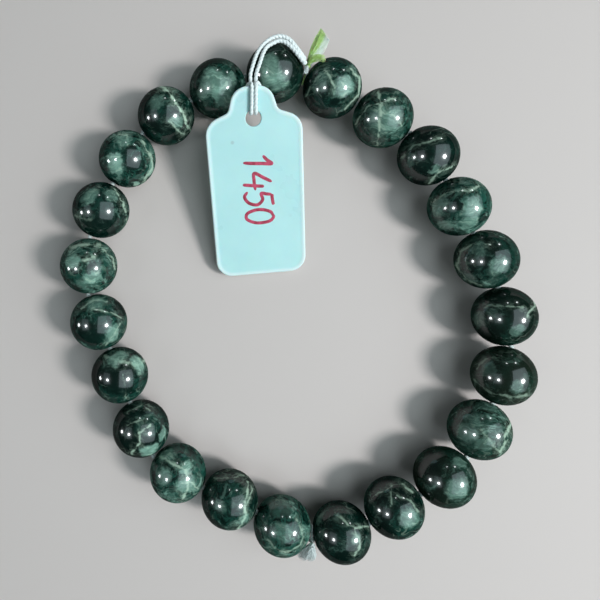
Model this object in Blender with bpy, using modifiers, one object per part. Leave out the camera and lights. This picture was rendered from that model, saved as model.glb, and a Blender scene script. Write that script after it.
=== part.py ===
"""Stretch bracelet of round green stone beads, with a blank tag tied on by a doubled thread.

Metres, +Z up. The bracelet lies flat: every bead rests on the plane z = 0, the origin is the
middle of the bracelet's footprint, and +Y points at the tied end of the ring.
"""

import math

import bmesh
import bpy
from mathutils import Matrix, Vector

MM = 0.001

# Beads
BEAD_COUNT = 23
BEAD_RADIUS = 4.0 * MM
BEAD_BORE_RADIUS = 0.6 * MM
BEAD_SIDES = 16
BEAD_BANDS = 9
MERGE_WITHIN = 0.01 * MM

# Extra space after a bead, counted clockwise from the tied end of the ring
TIED_GAP_AFTER = 1
TIED_GAP = 0.12 * MM
JOIN_GAP_AFTER = 12
JOIN_GAP = 0.20 * MM
SLACK_GAP = 0.12 * MM

# Elastic strand
ELASTIC_RADIUS = 0.3 * MM
STRAIGHT_IN_BORE = 3.6 * MM
MOUTH_PASSES = 40

# Route of the strand, clockwise from the first bead, in millimetres
STRAND_ROUTE = [
    (-2.2, 32.0), (5.5, 29.8), (12.5, 25.5), (18.5, 20.4), (22.7, 13.4), (26.4, 6.1), (28.8, -1.5),
    (28.8, -9.7), (25.7, -17.2), (21.1, -23.9), (14.4, -28.3), (7.1, -32.1), (-1.0, -31.5),
    (-8.4, -28.0), (-15.9, -24.4), (-21.2, -18.2), (-24.3, -10.5), (-27.3, -3.1), (-28.8, 5.0),
    (-27.0, 13.1), (-23.2, 20.3), (-17.5, 26.4), (-10.3, 30.0),
]
STRAND_STEPS = 200
SNUG_RANGE = (1.9, 2.2)
SNUG_PASSES = 30

# Knots, each in the groove between two beads
KNOT_RADIUS = 0.5 * MM
KNOT_SHAPE = (0.95, 1.1, 0.9)
KNOT_SIDES = 12
KNOT_BANDS = 7
KNOT_REACH = 2.15 * MM
KNOT_LIFT = math.radians(48.0)
LOOP_RADIUS = 0.55 * MM
LOOP_WIRE_RADIUS = 0.06 * MM
LOOP_STEPS = 16
WIRE_SIDES = 6

# Frayed ends, from a narrow root at the knot to a wide flat tip, in millimetres
TUFT_ROOT_RADIUS = 0.3 * MM
TUFT_SIDES = 10
TUFT_START = 1.15 * KNOT_RADIUS
TIED_TUFT_TIP = (4.6, 36.2, 5.2)
TIED_TUFT_SPREAD = 0.95 * MM
TIED_TAIL_TIP = (1.7, 30.8, 6.8)
TIED_TAIL_SPREAD = 0.35 * MM
JOIN_TUFT_TIP = (2.9, -36.5, 1.4)
JOIN_TUFT_SPREAD = 0.8 * MM
TUFT_THICKNESS = 0.3 * MM
TUFT_ROOT_GAP = 0.12 * MM

# Tag, drawn flat with the middle of its lower edge at the origin and its neck at +Y
TAG_WIDTH = 13.0 * MM
TAG_LENGTH = 25.8 * MM
TAG_THICKNESS = 0.5 * MM
TAG_NECK_FOOT = (3.3 * MM, 22.7 * MM)
TAG_NECK_HALF_TOP = 2.4 * MM
TAG_SHOULDER_HEIGHT = 21.5 * MM
TAG_FOOT_ROUND = 2.3 * MM
TAG_SHOULDER_ROUND = 2.4 * MM
TAG_NECK_FOOT_ROUND = 0.9 * MM
TAG_NECK_ROUND = 2.3 * MM
TAG_HOLE_RADIUS = 1.05 * MM
TAG_HOLE_HEIGHT = 21.8 * MM
TAG_PLACE = Vector((-3.95, 4.1, 0.8)) * MM
TAG_TURN = math.radians(3.6)
TAG_SLOPE = math.radians(19.0)
TAG_ROLL = math.radians(4.0)
ARC_STEPS = 6
HOLE_STEPS = 24

# Tag thread: one thread, doubled. Its two runs leave the tied knot side by side, arch over the
# first bead and go down behind the tag's neck. They come through the hole to the front, climb
# side by side and go over the neck's edge, and their loop closes behind the two runs. The free
# runs are in the bracelet's frame. The hitch is in the tag's own frame from the middle of its
# hole (across, along, out of the front), and it leans across as it climbs. Millimetres.
THREAD_RADIUS = 0.26 * MM
THREAD_STEPS = 2
TUBE_ROUNDNESS = 1
OUTER_RUN = [
    (1.65, 32.9, 6.2), (1.0, 33.5, 6.9), (0.3, 34.3, 7.2), (-0.5, 35.1, 7.4), (-1.4, 35.5, 7.5),
    (-2.4, 35.4, 7.6), (-3.4, 34.8, 7.8), (-4.3, 33.8, 8.1), (-4.9, 32.6, 8.4), (-5.3, 31.3, 8.75),
    (-5.6, 30.2, 8.75),
]
INNER_RUN = [
    (1.7, 32.28, 6.45), (1.2, 32.6, 7.0), (0.45, 33.3, 7.5), (-0.25, 34.0, 7.7), (-1.05, 34.6, 7.8),
    (-1.9, 34.75, 7.9), (-2.7, 34.4, 8.0), (-3.5, 33.8, 8.2), (-4.0, 32.8, 8.5), (-4.4, 31.5, 8.75),
    (-4.8, 30.3, 8.75),
]
HITCH_LEAN = 0.07
TAIL_SIDE = [
    (0.34, 4.5, -0.85), (0.31, 3.3, -0.58), (0.31, 1.8, -0.58), (0.31, 0.9, -0.54),
    (0.31, 0.62, -0.25), (0.31, 0.58, 0.05), (0.31, 0.64, 0.33), (0.3, 0.95, 0.55),
]
FRONT_SIDE = [(0.28, 1.65, 0.55), (0.28, 2.4, 0.55), (0.28, 3.0, 0.55), (0.28, 3.55, 0.55)]
WRAP_SIDE = [
    (0.29, 4.0, 0.53), (0.38, 4.32, 0.1), (0.66, 4.22, -0.32), (0.87, 3.82, -0.62),
    (0.9, 3.3, -0.8), (0.62, 3.0, -1.08),
]
LOOP_END = (0.0, 2.95, -1.2)

# Surface colours, as red, green, blue in linear light
STONE_COLOUR = (0.020, 0.052, 0.036)
TAG_COLOUR = (0.78, 0.86, 0.86)
THREAD_COLOUR = (0.80, 0.83, 0.80)
YARN_COLOUR = (0.45, 0.65, 0.16)
ELASTIC_COLOUR = (0.70, 0.72, 0.70)


def clear_scene():
    """Removes whatever the new file starts with."""
    for existing in list(bpy.data.objects):
        bpy.data.objects.remove(existing, do_unlink=True)


def new_collection(name):
    """A collection of the given name, linked to the scene."""
    collection = bpy.data.collections.new(name)
    bpy.context.scene.collection.children.link(collection)
    return collection


def new_material(name, colour, roughness, metallic=0.0):
    """A plain material with one colour and one roughness."""
    material = bpy.data.materials.new(name)
    material.use_nodes = True
    shader = material.node_tree.nodes["Principled BSDF"]
    shader.inputs["Base Color"].default_value = (*colour, 1.0)
    shader.inputs["Roughness"].default_value = roughness
    shader.inputs["Metallic"].default_value = metallic
    return material


def new_object(name, data, material, collection, matrix=None):
    """An object made from a mesh or a curve, with its material and its place."""
    if not data.materials:
        data.materials.append(material)
    made = bpy.data.objects.new(name, data)
    collection.objects.link(made)
    if matrix is not None:
        made.matrix_world = matrix
    return made


def placed(origin, x_axis, z_axis):
    """The matrix that carries an object's X and Z axes onto two directions at right angles."""
    x_axis = x_axis.normalized()
    z_axis = z_axis.normalized()
    turned = Matrix((x_axis, z_axis.cross(x_axis), z_axis)).transposed()
    return Matrix.Translation(origin) @ turned.to_4x4()


def smooth_curve(points, steps, closed):
    """Points of a smooth curve that passes through every given point, steps to each stretch."""
    count = len(points)
    curve = []
    for index in range(count if closed else count - 1):
        if closed:
            before, start, end, after = (points[(index + shift) % count] for shift in (-1, 0, 1, 2))
        else:
            start, end = points[index], points[index + 1]
            before = points[index - 1] if index > 0 else 2 * start - end
            after = points[index + 2] if index + 2 < count else 2 * end - start
        for step in range(steps):
            t = step / steps
            curve.append(
                0.5 * (2 * start + (end - before) * t
                       + (2 * before - 5 * start + 4 * end - after) * t ** 2
                       + (3 * start - 3 * end + after - before) * t ** 3)
            )
    if not closed:
        curve.append(points[-1])
    return curve


def bead_spacings(snug):
    """The distance from each bead's middle to the next one's, for a given snug distance."""
    spacings = []
    for number in range(1, BEAD_COUNT + 1):
        extra = SLACK_GAP if number > JOIN_GAP_AFTER else 0.0
        if number == TIED_GAP_AFTER:
            extra = TIED_GAP
        if number == JOIN_GAP_AFTER:
            extra = JOIN_GAP
        spacings.append(snug + extra)
    return spacings


def walk_along(curve, spacings):
    """Places on a closed curve at the given straight distances, and how many steps were walked."""
    index = 0
    places = [curve[0]]
    for spacing in spacings:
        here = places[-1]
        while (curve[index % len(curve)] - here).length < spacing:
            index += 1
        places.append(curve[index % len(curve)])
    return places[:-1], index


def bead_places():
    """The beads' middles: the snug distance is found that makes the last bead meet the first."""
    route = [Vector((x * MM, y * MM, BEAD_RADIUS)) for x, y in STRAND_ROUTE]
    curve = smooth_curve(route, STRAND_STEPS, True)
    low, high = (BEAD_RADIUS * share for share in SNUG_RANGE)
    for _ in range(SNUG_PASSES):
        snug = (low + high) / 2
        places, walked = walk_along(curve, bead_spacings(snug))
        if walked < len(curve):
            low = snug
        else:
            high = snug
    middle = Vector((
        (min(place.x for place in places) + max(place.x for place in places)) / 2,
        (min(place.y for place in places) + max(place.y for place in places)) / 2,
        0.0,
    ))
    return [place - middle for place in places]


def bead_directions(places):
    """The way each bead's bore points.

    It starts along the line between the bead's two neighbours. Then each bead is turned until
    its mouths meet the mouths of the beads beside it, as the stretched strand turns them.
    """
    count = len(places)
    directions = [(places[(i + 1) % count] - places[i - 1]).normalized() for i in range(count)]
    for _ in range(MOUTH_PASSES):
        meetings = []
        for i in range(count):
            after = (i + 1) % count
            leaving = places[i] + directions[i] * BEAD_RADIUS
            entering = places[after] - directions[after] * BEAD_RADIUS
            meetings.append((leaving + entering) / 2)
        directions = [(meetings[i] - meetings[i - 1]).normalized() for i in range(count)]
    return directions


def bead_profile():
    """The turned outline of a bead, as a closed loop: down the ball, then up the bore.

    The ball's middle band is straight, at the bead's full radius, so that one of its facets
    is a flat spot to rest on.
    """
    rim_angle = math.asin(BEAD_BORE_RADIUS / BEAD_RADIUS)
    step = (math.pi - 2 * rim_angle) / BEAD_BANDS
    outline = []
    for index in range(BEAD_BANDS + 1):
        angle = rim_angle + index * step
        radius = BEAD_RADIUS * math.sin(angle)
        if index in (BEAD_BANDS // 2, BEAD_BANDS // 2 + 1):
            radius = BEAD_RADIUS / math.cos(math.pi / BEAD_SIDES)
        outline.append((radius, 0.0, BEAD_RADIUS * math.cos(angle)))
    mesh = bpy.data.meshes.new("bead_profile")
    count = len(outline)
    mesh.from_pydata(outline, [(i, (i + 1) % count) for i in range(count)], [])
    return mesh


def add_beads(places, directions, material, collection):
    """One drilled bead at each place, turned so that a facet of its middle band faces down."""
    profile = bead_profile()
    for number, (place, direction) in enumerate(zip(places, directions), start=1):
        down = Vector((0.0, 0.0, -1.0))
        corner = Matrix.Rotation(math.pi / BEAD_SIDES, 3, direction) @ down
        bead = new_object(
            f"bead_{number:02d}", profile, material, collection, placed(place, corner, direction)
        )
        turn = bead.modifiers.new("turned", "SCREW")
        turn.axis = "Z"
        turn.angle = 2 * math.pi
        turn.steps = BEAD_SIDES
        turn.render_steps = BEAD_SIDES
        turn.use_merge_vertices = True
        turn.merge_threshold = MERGE_WITHIN
        turn.use_smooth_shade = True


def tube(name, points, radius, closed, material, collection):
    """A round tube along the given points."""
    data = bpy.data.curves.new(name, "CURVE")
    data.dimensions = "3D"
    data.bevel_depth = radius
    data.bevel_resolution = TUBE_ROUNDNESS
    data.use_fill_caps = not closed
    spline = data.splines.new("POLY")
    spline.points.add(len(points) - 1)
    for spline_point, point in zip(spline.points, points):
        spline_point.co = (*point, 1.0)
    spline.use_cyclic_u = closed
    spline.use_smooth = True
    return new_object(name, data, material, collection)


def add_elastic(places, directions, material, collection):
    """The strand: straight through every bore, and bent between the beads."""
    points = []
    for place, direction in zip(places, directions):
        points.append(place - direction * STRAIGHT_IN_BORE)
        points.append(place + direction * STRAIGHT_IN_BORE)
    tube("elastic_strand", points, ELASTIC_RADIUS, True, material, collection)


def groove_after(places, number):
    """The middle of the groove after a bead, the strand's way there, and the way outwards."""
    here, following = places[number - 1], places[number % len(places)]
    middle = (here + following) / 2
    along = (following - here).normalized()
    outward = along.cross(Vector((0.0, 0.0, -1.0)))
    if outward.dot(middle) < 0:
        outward = -outward
    return middle, along, outward


def knot_place(places, number):
    """The middle of the knot that sits high on the outer side of the groove after a bead."""
    middle, _, outward = groove_after(places, number)
    up = Vector((0.0, 0.0, 1.0))
    return middle + (outward * math.cos(KNOT_LIFT) + up * math.sin(KNOT_LIFT)) * KNOT_REACH


def ball_mesh(name, radius, matrix):
    """A ball with its place in its mesh."""
    shape = bmesh.new()
    bmesh.ops.create_uvsphere(
        shape, u_segments=KNOT_SIDES, v_segments=KNOT_BANDS, radius=radius, matrix=matrix
    )
    mesh = bpy.data.meshes.new(name)
    shape.to_mesh(mesh)
    shape.free()
    return mesh


def ring_mesh(name, radius, wire_radius, matrix):
    """A thin ring about its Z axis, with its place in its mesh."""
    shape = bmesh.new()
    rows = []
    for i in range(LOOP_STEPS):
        around = 2 * math.pi * i / LOOP_STEPS
        row = []
        for j in range(WIRE_SIDES):
            about = 2 * math.pi * j / WIRE_SIDES
            reach = radius + wire_radius * math.cos(about)
            point = (reach * math.cos(around), reach * math.sin(around), wire_radius * math.sin(about))
            row.append(shape.verts.new(matrix @ Vector(point)))
        rows.append(row)
    for i in range(LOOP_STEPS):
        row, following = rows[i], rows[(i + 1) % LOOP_STEPS]
        for j in range(WIRE_SIDES):
            k = (j + 1) % WIRE_SIDES
            shape.faces.new((row[j], following[j], following[k], row[k]))
    bmesh.ops.recalc_face_normals(shape, faces=shape.faces)
    mesh = bpy.data.meshes.new(name)
    shape.to_mesh(mesh)
    shape.free()
    return mesh


def rod_mesh(name, start, end, radius):
    """A thin rod between two points, with its place in its mesh."""
    direction = end - start
    turned = direction.to_track_quat("Z", "Y").to_matrix().to_4x4()
    shape = bmesh.new()
    bmesh.ops.create_cone(
        shape, cap_ends=True, segments=WIRE_SIDES, radius1=radius, radius2=radius,
        depth=direction.length, matrix=Matrix.Translation((start + end) / 2) @ turned,
    )
    mesh = bpy.data.meshes.new(name)
    shape.to_mesh(mesh)
    shape.free()
    return mesh


def add_union(target, helper_data, material, helpers):
    """Joins a helper shape into a piece."""
    helper = new_object(helper_data.name, helper_data, material, helpers)
    helper.hide_render = True
    helper.display_type = "WIRE"
    joined = target.modifiers.new(helper_data.name, "BOOLEAN")
    joined.operation = "UNION"
    joined.solver = "EXACT"
    joined.object = helper


def add_knot(name, places, number, material, collection, helpers):
    """A knot in a groove, with the turn of thread that holds it round the elastic strand."""
    middle, along, _ = groove_after(places, number)
    centre = knot_place(places, number)
    outward = (centre - middle).normalized()
    matrix = placed(centre, along, outward) @ Matrix.Diagonal((*KNOT_SHAPE, 1.0))
    knot = new_object(name, ball_mesh(name, KNOT_RADIUS, matrix), material, collection)
    loop = ring_mesh(name + "_loop", LOOP_RADIUS, LOOP_WIRE_RADIUS, placed(middle, outward, along))
    stem = rod_mesh(name + "_stem", middle + outward * LOOP_RADIUS, centre, LOOP_WIRE_RADIUS)
    add_union(knot, stem, material, helpers)
    add_union(knot, loop, material, helpers)


def add_tuft(name, root, tip, spread, material, collection):
    """A flat fan from a narrow root to a wide tip: the outer shape of a frayed end."""
    direction = tip - root
    across = direction.cross(Vector((0.0, 0.0, 1.0)))
    start = root + direction.normalized() * TUFT_ROOT_GAP
    length = (tip - start).length
    flattened = Matrix.Diagonal((1.0, TUFT_THICKNESS / spread, 1.0, 1.0))
    shape = bmesh.new()
    bmesh.ops.create_cone(
        shape, cap_ends=True, segments=TUFT_SIDES, radius1=TUFT_ROOT_RADIUS, radius2=spread,
        depth=length, matrix=placed((start + tip) / 2, across, direction) @ flattened,
    )
    mesh = bpy.data.meshes.new(name)
    shape.to_mesh(mesh)
    shape.free()
    new_object(name, mesh, material, collection)


def rounded_outline(corners):
    """A closed outline from (x, y, round) corners, each replaced by an arc that meets both sides."""
    outline = []
    count = len(corners)
    for index in range(count):
        corner = Vector(corners[index][:2])
        radius = corners[index][2]
        back = (Vector(corners[index - 1][:2]) - corner).normalized()
        ahead = (Vector(corners[(index + 1) % count][:2]) - corner).normalized()
        half = back.angle(ahead) / 2
        centre = corner + (back + ahead).normalized() * radius / math.sin(half)
        first = corner + back * radius / math.tan(half) - centre
        last = corner + ahead * radius / math.tan(half) - centre
        swing = first.angle_signed(last)
        for step in range(ARC_STEPS + 1):
            turned = Matrix.Rotation(-swing * step / ARC_STEPS, 2) @ first
            outline.append(centre + turned)
    return outline


def tag_outline():
    """The tag's outline: a rounded rectangle with sloped shoulders and a domed neck."""
    half = TAG_WIDTH / 2
    right_side = [
        (half, 0.0, TAG_FOOT_ROUND),
        (half, TAG_SHOULDER_HEIGHT, TAG_SHOULDER_ROUND),
        (*TAG_NECK_FOOT, TAG_NECK_FOOT_ROUND),
        (TAG_NECK_HALF_TOP, TAG_LENGTH, TAG_NECK_ROUND),
    ]
    left_side = [(-x, y, radius) for x, y, radius in reversed(right_side)]
    return rounded_outline(right_side + left_side)


def tag_matrix():
    """The tag's place: its lower edge by the table and its neck lifted beside the first bead."""
    return (
        Matrix.Translation(TAG_PLACE)
        @ Matrix.Rotation(TAG_TURN, 4, "Z")
        @ Matrix.Rotation(TAG_SLOPE, 4, "X")
        @ Matrix.Rotation(TAG_ROLL, 4, "Y")
    )


def add_tag(material, collection):
    """The tag: a flat plate with a round hole in its neck."""
    data = bpy.data.curves.new("tag", "CURVE")
    data.dimensions = "2D"
    data.fill_mode = "BOTH"
    data.extrude = TAG_THICKNESS / 2
    hole = [
        Vector((TAG_HOLE_RADIUS * math.cos(angle), TAG_HOLE_HEIGHT + TAG_HOLE_RADIUS * math.sin(angle)))
        for angle in (2 * math.pi * step / HOLE_STEPS for step in range(HOLE_STEPS))
    ]
    for outline in (tag_outline(), hole):
        spline = data.splines.new("POLY")
        spline.points.add(len(outline) - 1)
        for spline_point, point in zip(spline.points, outline):
            spline_point.co = (point.x, point.y, 0.0, 1.0)
        spline.use_cyclic_u = True
    new_object("tag", data, material, collection, tag_matrix())


def thread_route():
    """The whole thread: out along one run, round the hitch, and back along the other run."""
    hole = tag_matrix() @ Matrix.Translation((0.0, TAG_HOLE_HEIGHT, 0.0))

    def hitch(points, side):
        return [hole @ (Vector((side * x + HITCH_LEAN * y, y, z)) * MM) for x, y, z in points]

    out = [Vector(point) * MM for point in OUTER_RUN]
    out += hitch(TAIL_SIDE + FRONT_SIDE + WRAP_SIDE, -1)
    back = [Vector(point) * MM for point in INNER_RUN]
    back += hitch(TAIL_SIDE + FRONT_SIDE + WRAP_SIDE, 1)
    return out + hitch([LOOP_END], 1) + back[::-1]


def main():
    clear_scene()
    pieces = new_collection("seraphinite_bracelet")
    helpers = new_collection("helpers")
    stone = new_material("seraphinite", STONE_COLOUR, 0.12)
    tag_plastic = new_material("tag_plastic", TAG_COLOUR, 0.3)
    thread = new_material("white_thread", THREAD_COLOUR, 0.8)
    yarn = new_material("green_yarn", YARN_COLOUR, 0.85)
    elastic = new_material("elastic", ELASTIC_COLOUR, 0.6)

    places = bead_places()
    directions = bead_directions(places)
    add_beads(places, directions, stone, pieces)
    add_elastic(places, directions, elastic, pieces)

    add_knot("tied_knot", places, TIED_GAP_AFTER, yarn, pieces, helpers)
    tied = knot_place(places, TIED_GAP_AFTER)
    for name, tip, spread, material in (
        ("yarn_tuft", TIED_TUFT_TIP, TIED_TUFT_SPREAD, yarn),
        ("thread_tail", TIED_TAIL_TIP, TIED_TAIL_SPREAD, thread),
    ):
        away = (Vector(tip) * MM - tied).normalized()
        add_tuft(name, tied + away * TUFT_START, Vector(tip) * MM, spread, material, pieces)

    add_knot("join_knot", places, JOIN_GAP_AFTER, elastic, pieces, helpers)
    joined = knot_place(places, JOIN_GAP_AFTER)
    away = (Vector(JOIN_TUFT_TIP) * MM - joined).normalized()
    add_tuft(
        "elastic_ends", joined + away * TUFT_START, Vector(JOIN_TUFT_TIP) * MM,
        JOIN_TUFT_SPREAD, elastic, pieces,
    )

    add_tag(tag_plastic, pieces)
    route = smooth_curve(thread_route(), THREAD_STEPS, False)
    tube("tag_thread", route, THREAD_RADIUS, False, thread, pieces)


main()
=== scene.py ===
"""Looks of a stretch bracelet of round seraphinite beads, with a white tag on a doubled thread.

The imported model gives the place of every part. Each part is replaced by a finer surface, worked
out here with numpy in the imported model's own frame, in metres. Lengths marked MM are millimetres.
"""

import math

import bpy
import numpy as np
from mathutils import Matrix, Vector


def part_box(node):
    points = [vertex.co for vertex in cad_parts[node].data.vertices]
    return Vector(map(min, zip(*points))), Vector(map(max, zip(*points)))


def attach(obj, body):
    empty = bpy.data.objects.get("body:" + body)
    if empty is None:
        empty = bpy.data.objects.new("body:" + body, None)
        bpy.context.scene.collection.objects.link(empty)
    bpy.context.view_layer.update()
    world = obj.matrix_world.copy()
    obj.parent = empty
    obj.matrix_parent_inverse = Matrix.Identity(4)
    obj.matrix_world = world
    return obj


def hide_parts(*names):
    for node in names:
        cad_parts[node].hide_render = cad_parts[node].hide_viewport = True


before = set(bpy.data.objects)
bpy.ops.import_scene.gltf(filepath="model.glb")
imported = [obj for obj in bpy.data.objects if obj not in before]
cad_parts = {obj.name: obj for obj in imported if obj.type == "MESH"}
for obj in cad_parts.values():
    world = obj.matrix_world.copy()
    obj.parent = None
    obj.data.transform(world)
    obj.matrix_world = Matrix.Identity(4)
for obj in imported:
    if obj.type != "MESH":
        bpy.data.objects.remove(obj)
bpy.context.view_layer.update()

MM = 0.001
TURN = 2 * math.pi

# Any direction that no path here follows, to find a first direction square to a path
ASIDE = (0.3, 0.5, 0.8)
ASIDE_OF_FIBRES = (0.3, 0.2, 0.9)

# Sockets of a Mix node that mixes colours, which share their names with others
MIX_FACTOR = 0
MIX_FIRST = 6
MIX_SECOND = 7
MIX_RESULT = 2

# Camera, from the photograph: place in millimetres, tilt and swing in radians, then the focal
# length and the middle of the lens in pixels of the 600 pixel picture
CAMERA_PLACE_MM = (-5.52, 4.62, 71.5)
CAMERA_TILT = 0.011
CAMERA_SWING = -0.067
PICTURE_SIDE = 600
FOCAL_PIXELS = 478
LENS_MIDDLE_PIXELS = (219, 275)
SENSOR_MM = 36

# Light: the way to each lamp and panel from the bracelet, its size in metres and its power in
# watts. The key lamp and the panels light everything. The other lamps only show as glints.
LIGHT_DISTANCE = 0.5
KEY_LAMP = "key_lamp"
LAMPS = {
    KEY_LAMP: ((0.69, -0.16, 0.69), 0.11, 1.7),
    "left_lamp_low": ((-0.93, -0.12, 0.35), 0.08, 0.5),
    "left_lamp_high": ((-0.60, -0.17, 0.78), 0.08, 0.6),
    "far_lamp_right": ((0.48, 0.74, 0.45), 0.04, 0.10),
    "far_lamp_middle": ((0.0, 0.82, 0.55), 0.035, 0.05),
}
PANELS = {
    "window_panel": ((0.62, -0.12, 0.78), (0.56, 0.72), 1.9),
    "left_panel": ((-0.66, -0.10, 0.74), (0.25, 0.35), 0.16),
}
LAMP_COLOUR = (0.93, 0.98, 1.0)
PANEL_COLOUR = (0.76, 0.94, 1.0)
ROOM_COLOUR = (0.62, 0.85, 0.86)
ROOM_STRENGTH = 0.06
FLOOR_COLOUR = (0.68, 0.59, 0.56)
FLOOR_HALF = 1.5
FLOOR_ROUGHNESS = 0.75

# Beads
BEAD_COUNT = 23
BEAD_RADIUS = 4.0 * MM
BORE_RADIUS = 0.6 * MM
MOUTH_ROUND = 0.12 * MM
BEAD_AROUND = 96
BEAD_ALONG = 60
MOUTH_STEPS = 6
BORE_STEPS = 5
MOUTH_PASSES = 40
TIED_AFTER = 1
JOIN_AFTER = 12

# Elastic line
ELASTIC_RADIUS = 0.3 * MM
STRAIGHT_IN_BORE = 3.6 * MM
ELASTIC_STEPS = 6
ELASTIC_AROUND = 16

# Knots: an overhand knot of soft line in the groove between two beads, held by a turn of line
KNOT_REACH = 2.15 * MM
KNOT_LIFT = math.radians(48.0)
KNOT_SIZE = 0.33 * MM
KNOT_LINE_RADIUS = 0.13 * MM
KNOT_STEPS = 140
KNOT_LINE_AROUND = 12
KNOT_HEIGHT = 1.1
HOLDING_TURN_RADIUS = 0.47 * MM
HOLDING_LINE_RADIUS = 0.1 * MM
STEM_STEPS = 12

# Tag: a flat plate with its lower edge's middle at its own origin and its neck at +Y
TAG_WIDTH = 13.0 * MM
TAG_LENGTH = 25.8 * MM
TAG_HALF_THICKNESS = 0.25 * MM
TAG_FACE_HEIGHT = 0.20 * MM
TAG_LIP_WIDTH = 0.75 * MM
TAG_EDGE_ROUND = 0.2 * MM
TAG_LIP_STEPS = 9
TAG_EDGE_STEPS = 7
TAG_NECK_FOOT = (3.3 * MM, 22.7 * MM)
TAG_NECK_HALF_TOP = 2.4 * MM
TAG_SHOULDER_HEIGHT = 21.5 * MM
TAG_FOOT_ROUND = 2.3 * MM
TAG_SHOULDER_ROUND = 2.4 * MM
TAG_NECK_FOOT_ROUND = 0.9 * MM
TAG_NECK_ROUND = 2.3 * MM
TAG_HOLE_RADIUS = 1.05 * MM
TAG_HOLE_HEIGHT = 21.8 * MM
HOLE_EDGE_ROUND = 0.05 * MM
HOLE_EDGE_MIDDLE = 0.015 * MM
TAG_PLACE = Vector((-3.95, 4.1, 0.8)) * MM
TAG_TURN = math.radians(3.6)
TAG_SLOPE = math.radians(19.0)
TAG_ROLL = math.radians(4.0)
CORNER_STEPS = 10
OUTLINE_POINTS = 360

# Number on the tag, written by pen down the tag. Each stroke is in a box one unit high.
DIGIT_HEIGHT = 3.9 * MM
DIGIT_PITCH = 2.45 * MM
DIGIT_BASE = -1.75 * MM
NUMBER_START = 17.3 * MM
PEN_HALF_WIDTH = 0.23 * MM
PEN_STEPS = 14
PEN_AROUND = 9
PEN_END_POWER = 12
PEN_LEAST_SHARE = 0.02
INK_HEIGHT = 0.018 * MM
DIGIT_STROKES = [
    [[(0.10, 0.70), (0.26, 0.84), (0.40, 1.0), (0.37, 0.66), (0.34, 0.32), (0.30, 0.0)]],
    [
        [(0.40, 0.98), (0.24, 0.70), (0.06, 0.38), (0.30, 0.35), (0.66, 0.38)],
        [(0.54, 0.70), (0.49, 0.34), (0.43, -0.06)],
    ],
    [
        [(0.22, 0.96), (0.19, 0.78), (0.16, 0.58), (0.38, 0.62), (0.55, 0.42), (0.46, 0.12),
         (0.24, -0.02), (0.06, 0.10)],
        [(0.20, 0.96), (0.40, 0.97), (0.60, 1.0)],
    ],
    [[(0.40, 0.99), (0.20, 0.86), (0.10, 0.46), (0.20, 0.06), (0.42, 0.02), (0.58, 0.36),
      (0.56, 0.80), (0.42, 0.98), (0.30, 0.95)]],
]

# Tag thread, the route of part.py: the free runs in the bracelet's frame, the hitch in the
# tag's frame from the middle of its hole (across, along, out of the front), in millimetres
THREAD_RADIUS = 0.27 * MM
THREAD_STEPS = 30
THREAD_AROUND = 20
THREAD_TURNS_PER_MM = 0.95
PLY_WAIST = 0.76
TIGHT_SHARE = 0.9
FULL_SHARE = 0.35
FILAMENTS_AROUND = (7.0, 4.0)
FILAMENTS_PER_MM = 1.5
OUTER_RUN_MM = [
    (1.65, 32.9, 6.2), (1.0, 33.5, 6.9), (0.3, 34.3, 7.2), (-0.5, 35.1, 7.4), (-1.4, 35.5, 7.5),
    (-2.4, 35.4, 7.6), (-3.4, 34.8, 7.8), (-4.3, 33.8, 8.1), (-4.9, 32.6, 8.4), (-5.3, 31.3, 8.75),
    (-5.6, 30.2, 8.75),
]
INNER_RUN_MM = [
    (1.7, 32.28, 6.45), (1.2, 32.6, 7.0), (0.45, 33.3, 7.5), (-0.25, 34.0, 7.7), (-1.05, 34.6, 7.8),
    (-1.9, 34.75, 7.9), (-2.7, 34.4, 8.0), (-3.5, 33.8, 8.2), (-4.0, 32.8, 8.5), (-4.4, 31.5, 8.75),
    (-4.8, 30.3, 8.75),
]
HITCH_LEAN = 0.07
TAIL_SIDE_MM = [
    (0.34, 4.5, -0.85), (0.31, 3.3, -0.58), (0.31, 1.8, -0.58), (0.31, 0.9, -0.54),
    (0.31, 0.62, -0.25), (0.31, 0.58, 0.05), (0.31, 0.64, 0.33), (0.3, 0.95, 0.55),
]
FRONT_SIDE_MM = [(0.28, 1.65, 0.55), (0.28, 2.4, 0.55), (0.28, 3.0, 0.55), (0.28, 3.55, 0.55)]
WRAP_SIDE_MM = [
    (0.29, 4.0, 0.53), (0.38, 4.32, 0.1), (0.66, 4.22, -0.32), (0.87, 3.82, -0.62),
    (0.9, 3.3, -0.8), (0.62, 3.0, -1.08),
]
LOOP_END_MM = (0.0, 2.95, -1.2)

# Frayed ends. The depth and the bow of each fan of fibres are shares of its half width, and
# the slant is how much shorter its far side is than its middle.
YARN_BLADE = {
    "count": 620, "tip_mm": (4.55, 36.75, 5.2), "half_width": 0.9 * MM, "root_radius": 0.2 * MM,
    "depth": 0.18, "bow": 0.05, "fibre_radius": 0.036 * MM, "slant": 0.45 * MM,
}
STRAY_YARN = {
    "count": 60, "tip_mm": (4.3, 32.7, 7.0), "half_width": 0.5 * MM, "root_radius": 0.3 * MM,
    "depth": 0.5, "bow": -1.0, "fibre_radius": 0.045 * MM,
}
THREAD_TAIL = {
    "count": 90, "tip_mm": (1.7, 30.8, 6.8), "half_width": 0.3 * MM, "root_radius": 0.2 * MM,
    "depth": 0.3, "bow": 0.0, "fibre_radius": 0.03 * MM,
}
ELASTIC_ENDS = {
    "count": 400, "tip_mm": (2.35, -37.5, 1.1), "half_width": 1.1 * MM, "root_radius": 0.35 * MM,
    "depth": 0.3, "bow": 0.0, "fibre_radius": 0.05 * MM,
}
STRAY_WHITENESS = 0.4
# How much of the thread's painted groove shade its tail takes across its fan
TAIL_GROOVE_SHADE = 0.3
TAIL_ALONG = 4
TAIL_FILAMENTS = 20
LONGEST_CUT = 0.2
BOW_SPREAD = 0.25
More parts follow.
